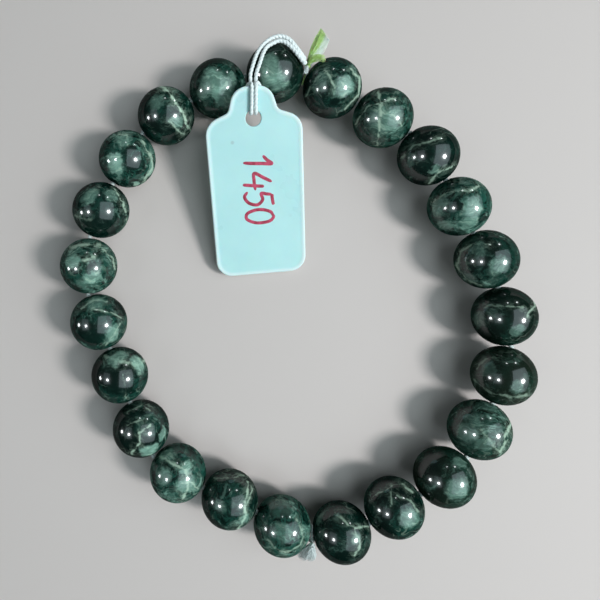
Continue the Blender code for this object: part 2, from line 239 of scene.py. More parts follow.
BOW_RISE = 0.35
RIPPLE_SHARE = 0.06
RIPPLE_RATES = (4, 9)
TIP_THINNING = 0.75
FIBRE_STEPS = 9
FIBRE_SIDES = 4
FIBRE_SEED = 11
# The yarn knot counts this far along the fibres, so it takes part of the painted root shade
YARN_KNOT_ALONG = 0.17

# Colours in linear light, in pairs where a fine noise mixes two: elastic, tag, ink, thread, yarn
ELASTIC_LINE_COLOURS = ((0.58, 0.64, 0.62), (0.78, 0.84, 0.82))
ELASTIC_FIBRE_COLOURS = ((0.84, 0.92, 0.90), (0.95, 0.99, 0.98))
TAG_COLOURS = ((0.50, 0.79, 0.79), (0.54, 0.83, 0.82))
# Painted highlight: the whiter colour that the tag's lip is mixed towards
TAG_LIP_HIGHLIGHT_COLOUR = (0.90, 0.98, 0.97)
TAG_SPECK_COLOUR = (0.25, 0.28, 0.29)
INK_COLOURS = ((0.36, 0.012, 0.045), (0.62, 0.05, 0.12))
THREAD_COLOURS = ((0.84, 0.90, 0.89), (0.96, 0.99, 0.98))
# Painted shade: the darker colour of the grooves between the thread's plies
THREAD_GROOVE_SHADE_COLOUR = (0.55, 0.66, 0.65)
YARN_LIMES = ((0.50, 0.76, 0.16), (0.74, 0.93, 0.38))
YARN_WHITE = (0.93, 0.98, 0.86)
# Painted shade: the deep green at the yarn's root, where the fibres gather into the knot
YARN_ROOT_SHADE_GREEN = (0.05, 0.16, 0.025)

# How far each fine relief rises
ELASTIC_RELIEF = 0.02 * MM
TAG_RELIEF = 0.02 * MM
THREAD_RELIEF = 0.03 * MM

# Stone colours, in linear light, and its polish
DEEP_GREEN = (0.0008, 0.0085, 0.0060)
MIDDLE_GREEN = (0.014, 0.073, 0.053)
PALE_GREEN = (0.31, 0.54, 0.43)
CREAM = (0.50, 0.66, 0.51)
OLIVE = (0.028, 0.036, 0.018)
POLISH_ROUGHNESS = 0.045
POLISH_IOR = 1.5

# Each bead looks its noises up in its own place: a start, and a step for each bead
SEED_START = (0.0, 11.3, 5.1)
SEED_STEP = (3.7, -2.9, 1.7)

# How far the stone's grain folds, how much its silky fibres comb a mark, and how much wider
# than given a vein is where it isn't broken
GRAIN_FOLD = 1.1
COMB = {"patch": 0.5, "dark": 0.15}
VEIN_FULLNESS = 1.25

# What each bead shows: how cloudy, netted, veined, dark and olive its stone is, from 0 to 1.
# The marks that can be told apart follow it, placed as the photograph's camera sees them, with
# the bead's middle at (0, 0) and its rim at 1:
#   ("patch", x, y, size, strength), ("dark", x, y, size, strength) and
#   ("vein", half width, strength, (x, y), (x, y), ...), a vein through its points
BEAD_LOOKS = {
    1: (0.3, 0.3, 0.2, 0.5, 0.2, [
        ("patch", -0.12, 0.18, 0.46, 0.6), ("patch", 0.1, -0.25, 0.42, 0.6),
        ("patch", -0.3, -0.15, 0.3, 0.5), ("dark", 0.65, -0.1, 0.34, 0.8),
        ("dark", 0.0, -0.85, 0.35, 0.8), ("dark", 0.0, 0.85, 0.32, 0.9)]),
    2: (0.3, 0.4, 0.3, 0.5, 0.0, [
        ("patch", 0.45, -0.05, 0.38, 0.8), ("patch", -0.45, 0.15, 0.36, 0.4),
        ("vein", 0.07, 0.8, (-0.22, 0.55), (-0.05, 0.3), (0.08, 0.0)),
        ("vein", 0.05, 0.6, (-0.1, 0.55), (-0.55, 0.35), (-0.88, -0.2)),
        ("vein", 0.06, 0.7, (0.62, 0.52), (0.9, 0.2), (0.9, -0.25), (0.45, -0.7)),
        ("dark", 0.12, -0.45, 0.2, 0.9)]),
    3: (0.35, 0.6, 0.3, 0.2, 0.1, [
        ("patch", 0.0, -0.1, 0.55, 0.55), ("patch", 0.35, 0.15, 0.35, 0.4),
        ("vein", 0.07, 0.95, (-0.12, 0.85), (-0.06, 0.2), (-0.12, -0.4), (-0.2, -0.85)),
        ("vein", 0.05, 0.75, (-0.85, -0.1), (-0.46, 0.38), (-0.06, 0.5), (0.4, 0.6)),
        ("vein", 0.05, 0.6, (-0.06, 0.2), (0.35, 0.1), (0.6, -0.3)),
        ("dark", 0.1, 0.9, 0.3, 0.7)]),
    4: (0.15, 0.3, 0.3, 0.7, 0.0, [
        ("vein", 0.06, 0.5, (-0.8, 0.05), (-0.46, 0.38), (-0.04, 0.46), (0.4, 0.52)),
        ("patch", 0.22, -0.45, 0.2, 0.6), ("patch", -0.5, -0.05, 0.3, 0.35),
        ("vein", 0.06, 0.6, (0.05, -0.9), (0.35, -0.55), (0.75, -0.4))]),
    5: (0.5, 0.8, 0.3, 0.2, 0.0, [
        ("patch", 0.45, 0.0, 0.42, 0.75), ("patch", -0.6, 0.05, 0.32, 0.8),
        ("patch", -0.35, -0.65, 0.32, 0.7), ("patch", 0.35, -0.55, 0.3, 0.6),
        ("vein", 0.06, 0.7, (-0.8, 0.2), (-0.35, 0.48), (0.25, 0.48), (0.6, 0.6)),
        ("dark", 0.0, 0.0, 0.2, 0.9), ("dark", 0.1, -0.85, 0.2, 0.8)]),
    6: (0.25, 0.4, 0.3, 0.5, 0.1, [
        ("vein", 0.05, 0.6, (-0.85, -0.26), (-0.75, 0.26), (-0.38, 0.5), (0.1, 0.47)),
        ("vein", 0.05, 0.55, (-0.9, -0.16), (-0.6, -0.68), (-0.15, -0.88)),
        ("patch", 0.4, -0.25, 0.34, 0.5), ("patch", -0.25, 0.3, 0.26, 0.45),
        ("patch", -0.5, -0.55, 0.3, 0.3), ("dark", 0.02, -0.1, 0.22, 0.9)]),
    7: (0.15, 0.3, 0.2, 0.7, 0.2, [
        ("vein", 0.05, 0.5, (-0.6, 0.15), (-0.4, 0.37), (0.17, 0.36), (0.5, 0.32)),
        ("vein", 0.06, 0.65, (0.62, 0.05), (0.84, 0.4), (0.88, 0.6)),
        ("patch", 0.38, -0.4, 0.26, 0.45), ("patch", -0.75, -0.2, 0.3, 0.3),
        ("patch", -0.35, 0.1, 0.24, 0.3)]),
    8: (0.15, 0.3, 0.2, 0.7, 0.5, [
        ("vein", 0.06, 0.4, (-0.75, 0.17), (-0.5, 0.48), (-0.05, 0.58)),
        ("vein", 0.07, 0.45, (-0.85, -0.25), (-0.44, -0.56), (0.2, -0.67), (0.7, -0.56)),
        ("patch", 0.36, -0.35, 0.28, 0.4), ("patch", -0.4, 0.2, 0.3, 0.3)]),
    9: (0.35, 0.6, 0.3, 0.2, 0.35, [
        ("vein", 0.07, 0.75, (0.6, -0.65), (0.72, -0.35), (0.8, 0.05), (0.9, 0.35)),
        ("vein", 0.07, 0.5, (0.05, 0.0), (0.3, -0.3), (0.55, -0.6)),
        ("patch", -0.35, -0.2, 0.36, 0.6), ("patch", -0.1, 0.3, 0.32, 0.45),
        ("patch", 0.15, -0.5, 0.3, 0.4)]),
    10: (0.2, 0.4, 0.2, 0.6, 0.4, [
        ("patch", 0.45, -0.35, 0.42, 0.55), ("patch", 0.45, 0.5, 0.26, 0.4),
        ("dark", -0.45, 0.3, 0.4, 0.8)]),
    11: (0.2, 0.5, 0.4, 0.6, 0.0, [
        ("vein", 0.05, 0.7, (-0.7, 0.2), (-0.4, 0.42), (-0.1, 0.63), (0.25, 0.75), (0.6, 0.55)),
        ("vein", 0.04, 0.6, (-0.1, 0.63), (-0.12, 0.0)),
        ("vein", 0.05, 0.5, (0.1, 0.35), (0.45, 0.3), (0.75, 0.0)),
        ("patch", 0.5, -0.3, 0.36, 0.6), ("dark", -0.3, -0.3, 0.3, 0.8)]),
    12: (0.15, 0.4, 0.3, 0.7, 0.0, [
        ("vein", 0.05, 0.7, (-0.15, 0.5), (0.4, 0.17), (0.9, 0.28)),
        ("vein", 0.06, 0.7, (0.4, 0.17), (0.66, -0.29), (0.43, -0.65)),
        ("patch", 0.45, -0.1, 0.26, 0.4), ("patch", -0.7, 0.4, 0.24, 0.4)]),
    13: (0.35, 0.95, 0.4, 0.2, 0.0, [
        ("vein", 0.06, 0.5, (0.45, 0.2), (0.72, -0.23), (0.6, -0.57), (0.1, -0.8)),
        ("vein", 0.05, 0.45, (-0.7, -0.1), (-0.6, -0.45), (-0.2, -0.7), (0.1, -0.8)),
        ("patch", 0.0, -0.2, 0.4, 0.35), ("patch", -0.1, 0.6, 0.4, 0.25)]),
    14: (0.2, 0.5, 0.4, 0.5, 0.0, [
        ("vein", 0.07, 0.85, (0.62, 0.5), (0.54, -0.1), (0.5, -0.6), (0.3, -0.95)),
        ("vein", 0.04, 0.6, (0.8, 0.3), (0.52, -0.3)),
        ("vein", 0.05, 0.4, (-0.5, 0.6), (0.0, 0.65), (0.5, 0.75)),
        ("patch", 0.45, -0.65, 0.24, 0.5), ("patch", -0.35, -0.2, 0.3, 0.3)]),
    15: (0.5, 0.8, 0.4, 0.2, 0.0, [
        ("patch", 0.3, 0.2, 0.3, 0.95), ("patch", -0.4, 0.55, 0.32, 0.7),
        ("patch", -0.55, -0.1, 0.34, 0.6), ("patch", 0.3, -0.45, 0.4, 0.6),
        ("vein", 0.07, 0.8, (-0.6, 0.5), (-0.1, 0.25), (0.3, 0.1), (0.35, -0.4), (0.15, -0.85)),
        ("vein", 0.05, 0.6, (0.35, -0.3), (0.7, -0.5)),
        ("dark", 0.5, 0.65, 0.28, 0.8), ("dark", -0.1, -0.55, 0.2, 0.7)]),
    16: (0.2, 0.4, 0.4, 0.6, 0.0, [
        ("vein", 0.06, 0.75, (-0.35, -0.85), (0.0, -0.5), (-0.06, -0.15), (0.3, 0.08)),
        ("patch", 0.3, -0.78, 0.34, 0.9), ("patch", 0.75, -0.3, 0.26, 0.7),
        ("vein", 0.05, 0.5, (-0.47, 0.5), (0.0, 0.78), (0.3, 0.55)),
        ("vein", 0.05, 0.5, (-0.5, 0.1), (0.1, 0.25)), ("dark", -0.5, -0.4, 0.36, 0.7)]),
    17: (0.2, 0.5, 0.3, 0.6, 0.0, [
        ("vein", 0.09, 0.7, (-0.5, 0.65), (0.05, 0.43), (0.6, 0.3), (0.88, 0.5)),
        ("patch", 0.6, 0.35, 0.34, 0.9), ("patch", -0.1, 0.6, 0.36, 0.65),
        ("vein", 0.04, 0.4, (0.1, 0.0), (0.2, -0.8)), ("dark", 0.0, -0.45, 0.45, 0.8)]),
    18: (0.3, 0.7, 0.3, 0.4, 0.0, [
        ("patch", 0.5, -0.4, 0.34, 0.65), ("patch", -0.1, 0.7, 0.4, 0.5),
        ("vein", 0.05, 0.6, (-0.65, 0.5), (-0.2, 0.75), (0.25, 0.7)),
        ("vein", 0.05, 0.5, (-0.2, 0.45), (0.45, 0.3), (0.78, 0.1)),
        ("vein", 0.05, 0.5, (0.75, -0.1), (0.45, -0.5), (0.2, -0.8)),
        ("dark", -0.3, -0.35, 0.6, 0.95)]),
    19: (0.45, 0.8, 0.3, 0.2, 0.1, [
        ("vein", 0.1, 0.75, (-0.6, 0.68), (-0.1, 0.76), (0.36, 0.74)),
        ("patch", -0.55, 0.15, 0.34, 0.9), ("vein", 0.09, 0.75, (-0.25, 0.15), (0.25, 0.33)),
        ("vein", 0.05, 0.6, (0.48, 0.6), (0.83, 0.3), (0.9, -0.1)),
        ("patch", 0.12, -0.42, 0.34, 0.8), ("patch", -0.2, -0.7, 0.26, 0.4),
        ("dark", 0.05, -0.08, 0.2, 0.8), ("dark", 0.4, 0.35, 0.2, 0.7)]),
    20: (0.2, 0.5, 0.3, 0.6, 0.0, [
        ("patch", -0.42, 0.5, 0.34, 0.55), ("patch", 0.35, 0.55, 0.3, 0.5),
        ("vein", 0.05, 0.85, (0.46, 0.72), (0.72, 0.35), (0.84, -0.06)),
        ("vein", 0.08, 0.6, (-0.87, -0.25), (-0.35, -0.33)),
        ("vein", 0.04, 0.5, (0.95, -0.2), (0.7, -0.7)), ("dark", 0.05, -0.6, 0.7, 0.95)]),
    21: (0.45, 0.8, 0.3, 0.3, 0.0, [
        ("patch", -0.48, -0.12, 0.34, 1.0), ("patch", -0.4, -0.4, 0.28, 0.8),
        ("patch", -0.1, 0.6, 0.36, 0.55), ("patch", 0.8, -0.3, 0.26, 0.8),
        ("vein", 0.07, 0.75, (0.5, 0.62), (0.82, 0.14), (0.9, -0.3), (0.46, -0.84)),
        ("vein", 0.05, 0.5, (-0.3, 0.85), (0.0, 0.8), (0.0, 0.45)),
        ("patch", 0.33, -0.85, 0.18, 0.9), ("dark", 0.15, -0.2, 0.28, 0.9)]),
    22: (0.2, 0.4, 0.3, 0.6, 0.0, [
        ("vein", 0.08, 1.0, (-0.21, 0.95), (0.05, 0.79), (0.32, 0.43), (0.63, 0.0), (0.86, -0.48)),
        ("vein", 0.06, 0.7, (0.14, -0.15), (0.32, -0.38), (0.6, -0.55)),
        ("patch", 0.42, -0.12, 0.28, 0.65), ("patch", -0.4, 0.45, 0.28, 0.35)]),
    23: (0.5, 0.5, 0.2, 0.3, 0.1, [
        ("patch", -0.1, 0.25, 0.5, 0.6), ("patch", 0.2, -0.2, 0.46, 0.6),
        ("patch", -0.5, -0.1, 0.3, 0.5), ("patch", 0.5, 0.2, 0.28, 0.4),
        ("dark", 0.0, 0.9, 0.3, 0.8)]),
}


def unit(vectors):
    """Each vector of an array at length one."""
    return vectors / np.linalg.norm(vectors, axis=-1, keepdims=True)


def smooth_curve(points, steps, closed=False):
    """Points of a curve through all given points: on each stretch a cubic whose slope at a
    point is half the way from the point before to the point after."""
    points = np.asarray(points, float)
    if closed:
        padded = np.concatenate([points[-1:], points, points[:2]])
    else:
        padded = np.concatenate([[2 * points[0] - points[1]], points, [2 * points[-1] - points[-2]]])
    before, start, end, after = padded[:-3], padded[1:-2], padded[2:-1], padded[3:]
    t = (np.arange(steps) / steps)[None, :, None]
    before, start, end, after = (block[:, None, :] for block in (before, start, end, after))
    curve = 0.5 * (
        2 * start + (end - before) * t
        + (2 * before - 5 * start + 4 * end - after) * t ** 2
        + (3 * start - 3 * end + after - before) * t ** 3
    )
    curve = curve.reshape(-1, points.shape[1])
    return curve if closed else np.concatenate([curve, points[-1:]])


def even_curve(points, count):
    """The same open curve with its points at equal distances."""
    along = np.concatenate([[0.0], np.cumsum(np.linalg.norm(np.diff(points, axis=0), axis=1))])
    wanted = np.linspace(0.0, along[-1], count)
    return np.stack([np.interp(wanted, along, points[:, axis]) for axis in range(3)], axis=1)


def carried_frames(path, closed):
    """Two directions square to the path at each of its points, carried along without turning.

    Each direction is the one before it less its part along the path. On a closed path the angle
    that is left over at the end is shared out along the way.
    """
    if closed:
        tangents = unit(np.roll(path, -1, axis=0) - np.roll(path, 1, axis=0))
    else:
        tangents = unit(np.gradient(path, axis=0))
    sides = [unit(np.cross(tangents[0], ASIDE))]
    for tangent in tangents[1:]:
        flat = sides[-1] - tangent * (sides[-1] @ tangent)
        sides.append(unit(flat))
    sides = np.array(sides)
    ups = np.cross(tangents, sides)
    if closed:
        last = unit(sides[-1] - tangents[0] * (sides[-1] @ tangents[0]))
        gap = math.atan2(last @ ups[0], last @ sides[0])
        angle = -gap * np.arange(len(path))[:, None] / len(path)
        sides, ups = (
            sides * np.cos(angle) + ups * np.sin(angle),
            ups * np.cos(angle) - sides * np.sin(angle),
        )
    return sides, ups


def grid_faces(rows, columns, rows_closed, columns_closed):
    """The four corners of every square of a grid of points that are numbered row by row."""
    row = np.arange(rows if rows_closed else rows - 1)[:, None]
    column = np.arange(columns if columns_closed else columns - 1)[None, :]
    next_row, next_column = (row + 1) % rows, (column + 1) % columns
    corners = [
        row * columns + column, row * columns + next_column,
        next_row * columns + next_column, next_row * columns + column,
    ]
    return np.stack([corner.ravel() for corner in np.broadcast_arrays(*corners)], axis=1)


def capped_tube(grid):
    """Points and faces of a tube from its rings of points, with both ends closed by a fan."""
    rings, sides = grid.shape[:2]
    points = np.concatenate([grid.reshape(-1, 3), grid[:1].mean(axis=1), grid[-1:].mean(axis=1)])
    around = np.arange(sides)
    beyond = (around + 1) % sides
    first = np.stack([beyond, around, np.full(sides, rings * sides)], axis=1)
    last_ring = (rings - 1) * sides
    last = np.stack([last_ring + around, last_ring + beyond, np.full(sides, rings * sides + 1)], axis=1)
    return points, [grid_faces(rings, sides, False, True), first, last]


def tube_grid(path, radii, sides, closed=False):
    """Rings of points round a path: centre + radius x (side x cos a + up x sin a)."""
    path = np.asarray(path, float)
    side, up = carried_frames(path, closed)
    angle = (np.arange(sides) / sides * TURN)[None, :, None]
    radii = np.broadcast_to(np.asarray(radii, float), (len(path), sides))[:, :, None]
    ring = side[:, None, :] * np.cos(angle) + up[:, None, :] * np.sin(angle)
    return path[:, None, :] + radii * ring


def signed_volume(points, faces):
    """Six times the volume that the faces enclose: negative where they point inwards."""
    total = 0.0
    for block in faces:
        corners = points[block]
        for k in range(1, block.shape[1] - 1):
            total += np.einsum("ij,ij->", corners[:, 0], np.cross(corners[:, k], corners[:, k + 1]))
    return total


def joined(shapes):
    """One list of points and one list of face blocks from several (points, faces)."""
    points, faces, start = [], [], 0
    for shape_points, shape_faces in shapes:
        points.append(shape_points)
        faces += [block + start for block in shape_faces]
        start += len(shape_points)
    return np.concatenate(points), faces


def add_piece(name, points, faces, material, replaces=(), attributes=None):
    """A mesh object at the origin from points and blocks of faces, turned to face outwards.

    The attributes hold one number for each point under each name. The piece rides on the one
    body.
    """
    if signed_volume(points, faces) < 0:
        faces = [block[:, ::-1] for block in faces]
    mesh = bpy.data.meshes.new(name)
    corners = np.concatenate([block.ravel() for block in faces])
    sizes = np.concatenate([np.full(len(block), block.shape[1]) for block in faces])
    starts = np.cumsum(sizes) - sizes
    mesh.vertices.add(len(points))
    mesh.vertices.foreach_set("co", np.ascontiguousarray(points, np.float32).ravel())
    mesh.loops.add(len(corners))
    mesh.loops.foreach_set("vertex_index", corners.astype(np.int32))
    mesh.polygons.add(len(sizes))
    mesh.polygons.foreach_set("loop_start", starts.astype(np.int32))
    mesh.polygons.foreach_set("use_smooth", np.ones(len(sizes), bool))
    for attribute_name, values in (attributes or {}).items():
        layer = mesh.attributes.new(attribute_name, "FLOAT", "POINT")
        layer.data.foreach_set("value", np.ascontiguousarray(values, np.float32).ravel())
    mesh.update(calc_edges=True)
    mesh.validate()
    mesh.materials.append(material)
    piece = bpy.data.objects.new(name, mesh)
    bpy.context.scene.collection.objects.link(piece)
    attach(piece, "root")
    if replaces:
        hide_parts(*replaces)
    return piece


def add_camera():
    """The camera of the photograph, almost straight above the bracelet."""
    data = bpy.data.cameras.new("camera")
    data.sensor_width = SENSOR_MM
    data.lens = FOCAL_PIXELS / PICTURE_SIDE * SENSOR_MM
    data.shift_x = (PICTURE_SIDE / 2 - LENS_MIDDLE_PIXELS[0]) / PICTURE_SIDE
    data.shift_y = (LENS_MIDDLE_PIXELS[1] - PICTURE_SIDE / 2) / PICTURE_SIDE
    data.clip_start = MM
    camera = bpy.data.objects.new("camera", data)
    bpy.context.scene.collection.objects.link(camera)
    turned = Matrix.Rotation(CAMERA_TILT, 3, "X") @ Matrix.Rotation(CAMERA_SWING, 3, "Y")
    place = Matrix.Translation(Vector(CAMERA_PLACE_MM) * MM)
    camera.matrix_world = place @ turned.transposed().to_4x4()
    bpy.context.scene.camera = camera


def add_light(name, way, size, power, colour, only_glints=False):
    """A round lamp, or a rectangle where two sizes are given, facing the bracelet."""
    data = bpy.data.lights.new(name, "AREA")
    if isinstance(size, tuple):
        data.shape = "RECTANGLE"
        data.size, data.size_y = size
    else:
        data.shape = "DISK"
        data.size = size
    data.energy = power
    data.color = colour
    light = bpy.data.objects.new(name, data)
    bpy.context.scene.collection.objects.link(light)
    way = Vector(way).normalized()
    side = Vector((0.0, 1.0, 0.0)).cross(way).normalized()
    turned = Matrix((side, way.cross(side), way)).transposed().to_4x4()
    light.matrix_world = Matrix.Translation(way * LIGHT_DISTANCE) @ turned
    light.visible_camera = False
    light.visible_diffuse = not only_glints


def add_studio():
    """Soft panels and small lamps where the beads show them, a dim room and a pale floor."""
    for name, (way, size, power) in LAMPS.items():
        add_light(name, way, size, power, LAMP_COLOUR, only_glints=name != KEY_LAMP)
    for name, (way, size, power) in PANELS.items():
        add_light(name, way, size, power, PANEL_COLOUR)
    world = bpy.data.worlds.new("room")
    world.use_nodes = True
    background = world.node_tree.nodes["Background"]
    feed(world.node_tree, background, {"Color": (*ROOM_COLOUR, 1.0), "Strength": ROOM_STRENGTH})
    bpy.context.scene.world = world
    bpy.context.scene.view_settings.view_transform = "Standard"

    mesh = bpy.data.meshes.new("floor")
    half = FLOOR_HALF
    corners = [(-half, -half, 0), (half, -half, 0), (half, half, 0), (-half, half, 0)]
    mesh.from_pydata(corners, [], [(0, 1, 2, 3)])
    floor = bpy.data.objects.new("floor", mesh)
    bpy.context.scene.collection.objects.link(floor)
    material, shader = new_material("pale_floor")
    feed(material.node_tree, shader, {
        "Base Color": (*FLOOR_COLOUR, 1.0), "Roughness": FLOOR_ROUGHNESS})
    mesh.materials.append(material)


def new_material(name):
    """A material and its surface shader."""
    material = bpy.data.materials.new(name)
    material.use_nodes = True
    return material, material.node_tree.nodes["Principled BSDF"]


def feed(tree, node, inputs):
    """Gives a node its inputs. Each is a number, a tuple or another node's output."""
    for key, value in inputs.items():
        if isinstance(value, bpy.types.NodeSocket):
            tree.links.new(value, node.inputs[key])
        else:
            node.inputs[key].default_value = value


def add_node(tree, kind, inputs=None, **settings):
    """A node with its settings and its inputs."""
    node = tree.nodes.new(kind)
    for name, value in settings.items():
        setattr(node, name, value)
    feed(tree, node, inputs or {})
    return node


def calculate(tree, operation, first, second=0.0, clamp=False):
    """The output of a Math node."""
    inputs = {0: first, 1: second}
    return add_node(tree, "ShaderNodeMath", inputs, operation=operation, use_clamp=clamp).outputs[0]


def product(tree, first, second, clamp=False):
    """First x second."""
    return calculate(tree, "MULTIPLY", first, second, clamp)


def vector_math(tree, operation, first, second, output="Vector"):
    """The output of a Vector Math node."""
    node = add_node(tree, "ShaderNodeVectorMath", {0: first, 1: second}, operation=operation)
    return node.outputs[output]


def vector_sum(tree, first, second, weight=None):
    """First + second, or first + second x weight."""
    if weight is not None:
        inputs = {0: second, "Scale": weight}
        second = add_node(tree, "ShaderNodeVectorMath", inputs, operation="SCALE").outputs["Vector"]
    return vector_math(tree, "ADD", first, second)


def soft_step(tree, value, low, high, from_low=0.0, to_high=1.0):
    """A smooth climb from one number to another as the value goes from low to high."""
    inputs = {"Value": value, "From Min": low, "From Max": high, "To Min": from_low, "To Max": to_high}
    return add_node(tree, "ShaderNodeMapRange", inputs, interpolation_type="SMOOTHSTEP").outputs[0]


def mixed_colour(tree, share, first, second):
    """The first colour where the share is 0, the second where it is 1."""
    first, second = (
        colour if isinstance(colour, bpy.types.NodeSocket) else (*colour, 1.0)
        for colour in (first, second)
    )
    inputs = {MIX_FACTOR: share, MIX_FIRST: first, MIX_SECOND: second}
    return add_node(tree, "ShaderNodeMix", inputs, data_type="RGBA").outputs[MIX_RESULT]


def noise(tree, vector, scale, detail=2.0, roughness=0.5, output="Fac"):
    """A Noise texture's output."""
    inputs = {"Vector": vector, "Scale": scale, "Detail": detail, "Roughness": roughness}
    return add_node(tree, "ShaderNodeTexNoise", inputs).outputs[output]


def bump_normal(tree, height, distance):
    """The normal of a surface that rises by distance where the height is 1."""
    inputs = {"Height": height, "Distance": distance, "Strength": 1.0}
    return add_node(tree, "ShaderNodeBump", inputs).outputs["Normal"]


def new_group(name, inputs, outputs):
    """A node group with named sockets: the tree, what it is given and its output node."""
    tree = bpy.data.node_groups.new(name, "ShaderNodeTree")
    for direction, sockets in (("INPUT", inputs), ("OUTPUT", outputs)):
        for socket_name, kind in sockets:
            tree.interface.new_socket(socket_name, in_out=direction, socket_type="NodeSocket" + kind)
    return tree, tree.nodes.new("NodeGroupInput").outputs, tree.nodes.new("NodeGroupOutput")


def place_group(tree, group, inputs):
    """A copy of a group in a material, with its own values."""
    return add_node(tree, "ShaderNodeGroup", inputs, node_tree=group)


def attribute(tree, name):
    """A number that the mesh holds at each point."""
    return add_node(tree, "ShaderNodeAttribute", attribute_name=name).outputs["Fac"]


def object_place(tree):
    """The place of the shaded point in the object's own coordinates."""
    return add_node(tree, "ShaderNodeTexCoord").outputs["Object"]


def fold_group():
    """The stone's folded grain: the place of each point after a slow random drift, so that every
    pattern read from it runs in curved plumes, and how bright the silky fibres are there."""
    tree, given, result = new_group(
        "folded_grain", [("Vector", "Vector"), ("Seed", "Vector"), ("Fold", "Float")],
        [("Vector", "Vector"), ("Drift", "Vector"), ("Silk", "Float")],
    )
    seeded = vector_sum(tree, given["Vector"], given["Seed"])
    wander = noise(tree, seeded, 1.3, 3.0, output="Color")
    drift = vector_sum(tree, wander, (-0.5, -0.5, -0.5))
    folded = vector_sum(tree, seeded, drift, given["Fold"])
    combed = vector_math(tree, "MULTIPLY", folded, (1.0, 5.5, 2.2))
    fibres = noise(tree, combed, 2.2, 5.0, 0.6)
    mottle = soft_step(tree, noise(tree, folded, 4.5, 6.0, 0.7), 0.43, 0.57, 0.45, 1.0)
    silk = product(tree, soft_step(tree, fibres, 0.36, 0.66), mottle)
    feed(tree, result, {"Vector": folded, "Drift": drift, "Silk": silk})
    return tree


def ground_group(folded_grain):
    """The stone between its marks: deep green, with a net of lighter green, soft pale clouds of
    silky fibres and thin cream veins, each where its own noise passes a level."""
    tree, given, result = new_group(
        "seraphinite_ground",
        [("Vector", "Vector"), ("Seed", "Vector"), ("Cloud", "Float"), ("Net", "Float"),
         ("Veins", "Float"), ("Darkness", "Float"), ("Olive", "Float")],
        [("Colour", "Color"), ("Pale", "Float")],
    )
    inputs = {"Vector": given["Vector"], "Seed": given["Seed"], "Fold": GRAIN_FOLD}
    grain = place_group(tree, folded_grain, inputs)
    folded, silk = grain.outputs["Vector"], grain.outputs["Silk"]
    # Clouds
    shift = product(tree, given["Cloud"], -0.17)
    cloud_noise = noise(tree, folded, 1.15, 5.0, 0.62)
    cloud_low = calculate(tree, "ADD", shift, 0.58)
    cloud_high = calculate(tree, "ADD", shift, 0.76)
    cloud = soft_step(tree, cloud_noise, cloud_low, cloud_high)
    combed_cloud = product(tree, cloud, soft_step(tree, silk, 0.0, 1.0, 0.25, 1.0))
    # Net of lighter green
    net_noise = noise(tree, folded, 2.3, 4.0, 0.6)
    net_away = calculate(tree, "ABSOLUTE", calculate(tree, "SUBTRACT", net_noise, 0.5))
    net = product(tree, soft_step(tree, net_away, 0.0, 0.10, 1.0, 0.0), given["Net"])
    # Fine pale flecks
    fleck_noise = noise(tree, folded, 3.4, 6.0, 0.68)
    fleck = soft_step(tree, fleck_noise, 0.54, 0.68, 0.0, 0.6)
    fleck = product(tree, fleck, given["Net"])
    # Dark areas
    dark_noise = noise(tree, folded, 0.75, 2.0)
    dark_low = calculate(tree, "SUBTRACT", 0.62, product(tree, given["Darkness"], 0.24))
    lit = soft_step(tree, dark_noise, dark_low, calculate(tree, "ADD", dark_low, 0.14), 1.0, 0.0)
    lit = product(tree, lit, soft_step(tree, given["Darkness"], 0.0, 1.4, 1.0, 0.35))
    # Thin veins
    vein_noise = noise(tree, folded, 0.9, 2.0)
    vein_away = calculate(tree, "ABSOLUTE", calculate(tree, "SUBTRACT", vein_noise, 0.5))
    vein_line = soft_step(tree, vein_away, 0.0, 0.02, 0.55, 0.0)
    vein_here = soft_step(tree, noise(tree, given["Vector"], 1.6, 2.0), 0.45, 0.6)
    vein_here = product(tree, vein_here, given["Veins"])
    vein = product(tree, vein_line, vein_here)
    # Colour
    green_share = calculate(tree, "ADD", product(tree, silk, 0.45), net)
    green_share = calculate(tree, "MINIMUM", product(tree, green_share, lit), 1.0)
    ground = mixed_colour(tree, green_share, DEEP_GREEN, MIDDLE_GREEN)
    ground = mixed_colour(tree, product(tree, given["Olive"], 0.5), ground, OLIVE)
    pale = calculate(tree, "MAXIMUM", combed_cloud, fleck)
    pale = product(tree, pale, soft_step(tree, lit, 0.0, 0.8, 0.15, 0.8))
    ground = mixed_colour(tree, pale, ground, PALE_GREEN)
    ground = mixed_colour(tree, vein, ground, CREAM)
    feed(tree, result, {"Colour": ground, "Pale": calculate(tree, "MAXIMUM", pale, vein)})
    return tree


def mark_group(folded_grain):
    """Where a bead's patches and veins are looked up: each point after a small random drift, so
    that their edges are ragged. The veins' place is flat, since a vein runs right through."""
    tree, given, result = new_group(
        "mark_places", [("Vector", "Vector"), ("Seed", "Vector")],
        [("Patches", "Vector"), ("Veins", "Vector"), ("Silk", "Float"), ("Broken", "Float")],
    )
    vector = given["Vector"]
    inputs = {"Vector": vector, "Seed": given["Seed"], "Fold": GRAIN_FOLD}
    grain = place_group(tree, folded_grain, inputs)
    drift = grain.outputs["Drift"]
    fine = vector_sum(tree, noise(tree, vector, 5.0, 4.0, 0.6, output="Color"), (-0.5, -0.5, -0.5))
    patches = vector_sum(tree, vector_sum(tree, vector, drift, 0.6), fine, 0.35)
    veins = vector_sum(tree, vector_sum(tree, vector, drift, 0.22), fine, 0.16)
    flat = vector_math(tree, "MULTIPLY", veins, (1.0, 1.0, 0.0))
    broken = soft_step(tree, noise(tree, vector, 4.0, 3.0), 0.36, 0.54, 0.35, 1.0)
    silk = grain.outputs["Silk"]
    feed(tree, result, {"Patches": patches, "Veins": flat, "Silk": silk, "Broken": broken})
    return tree


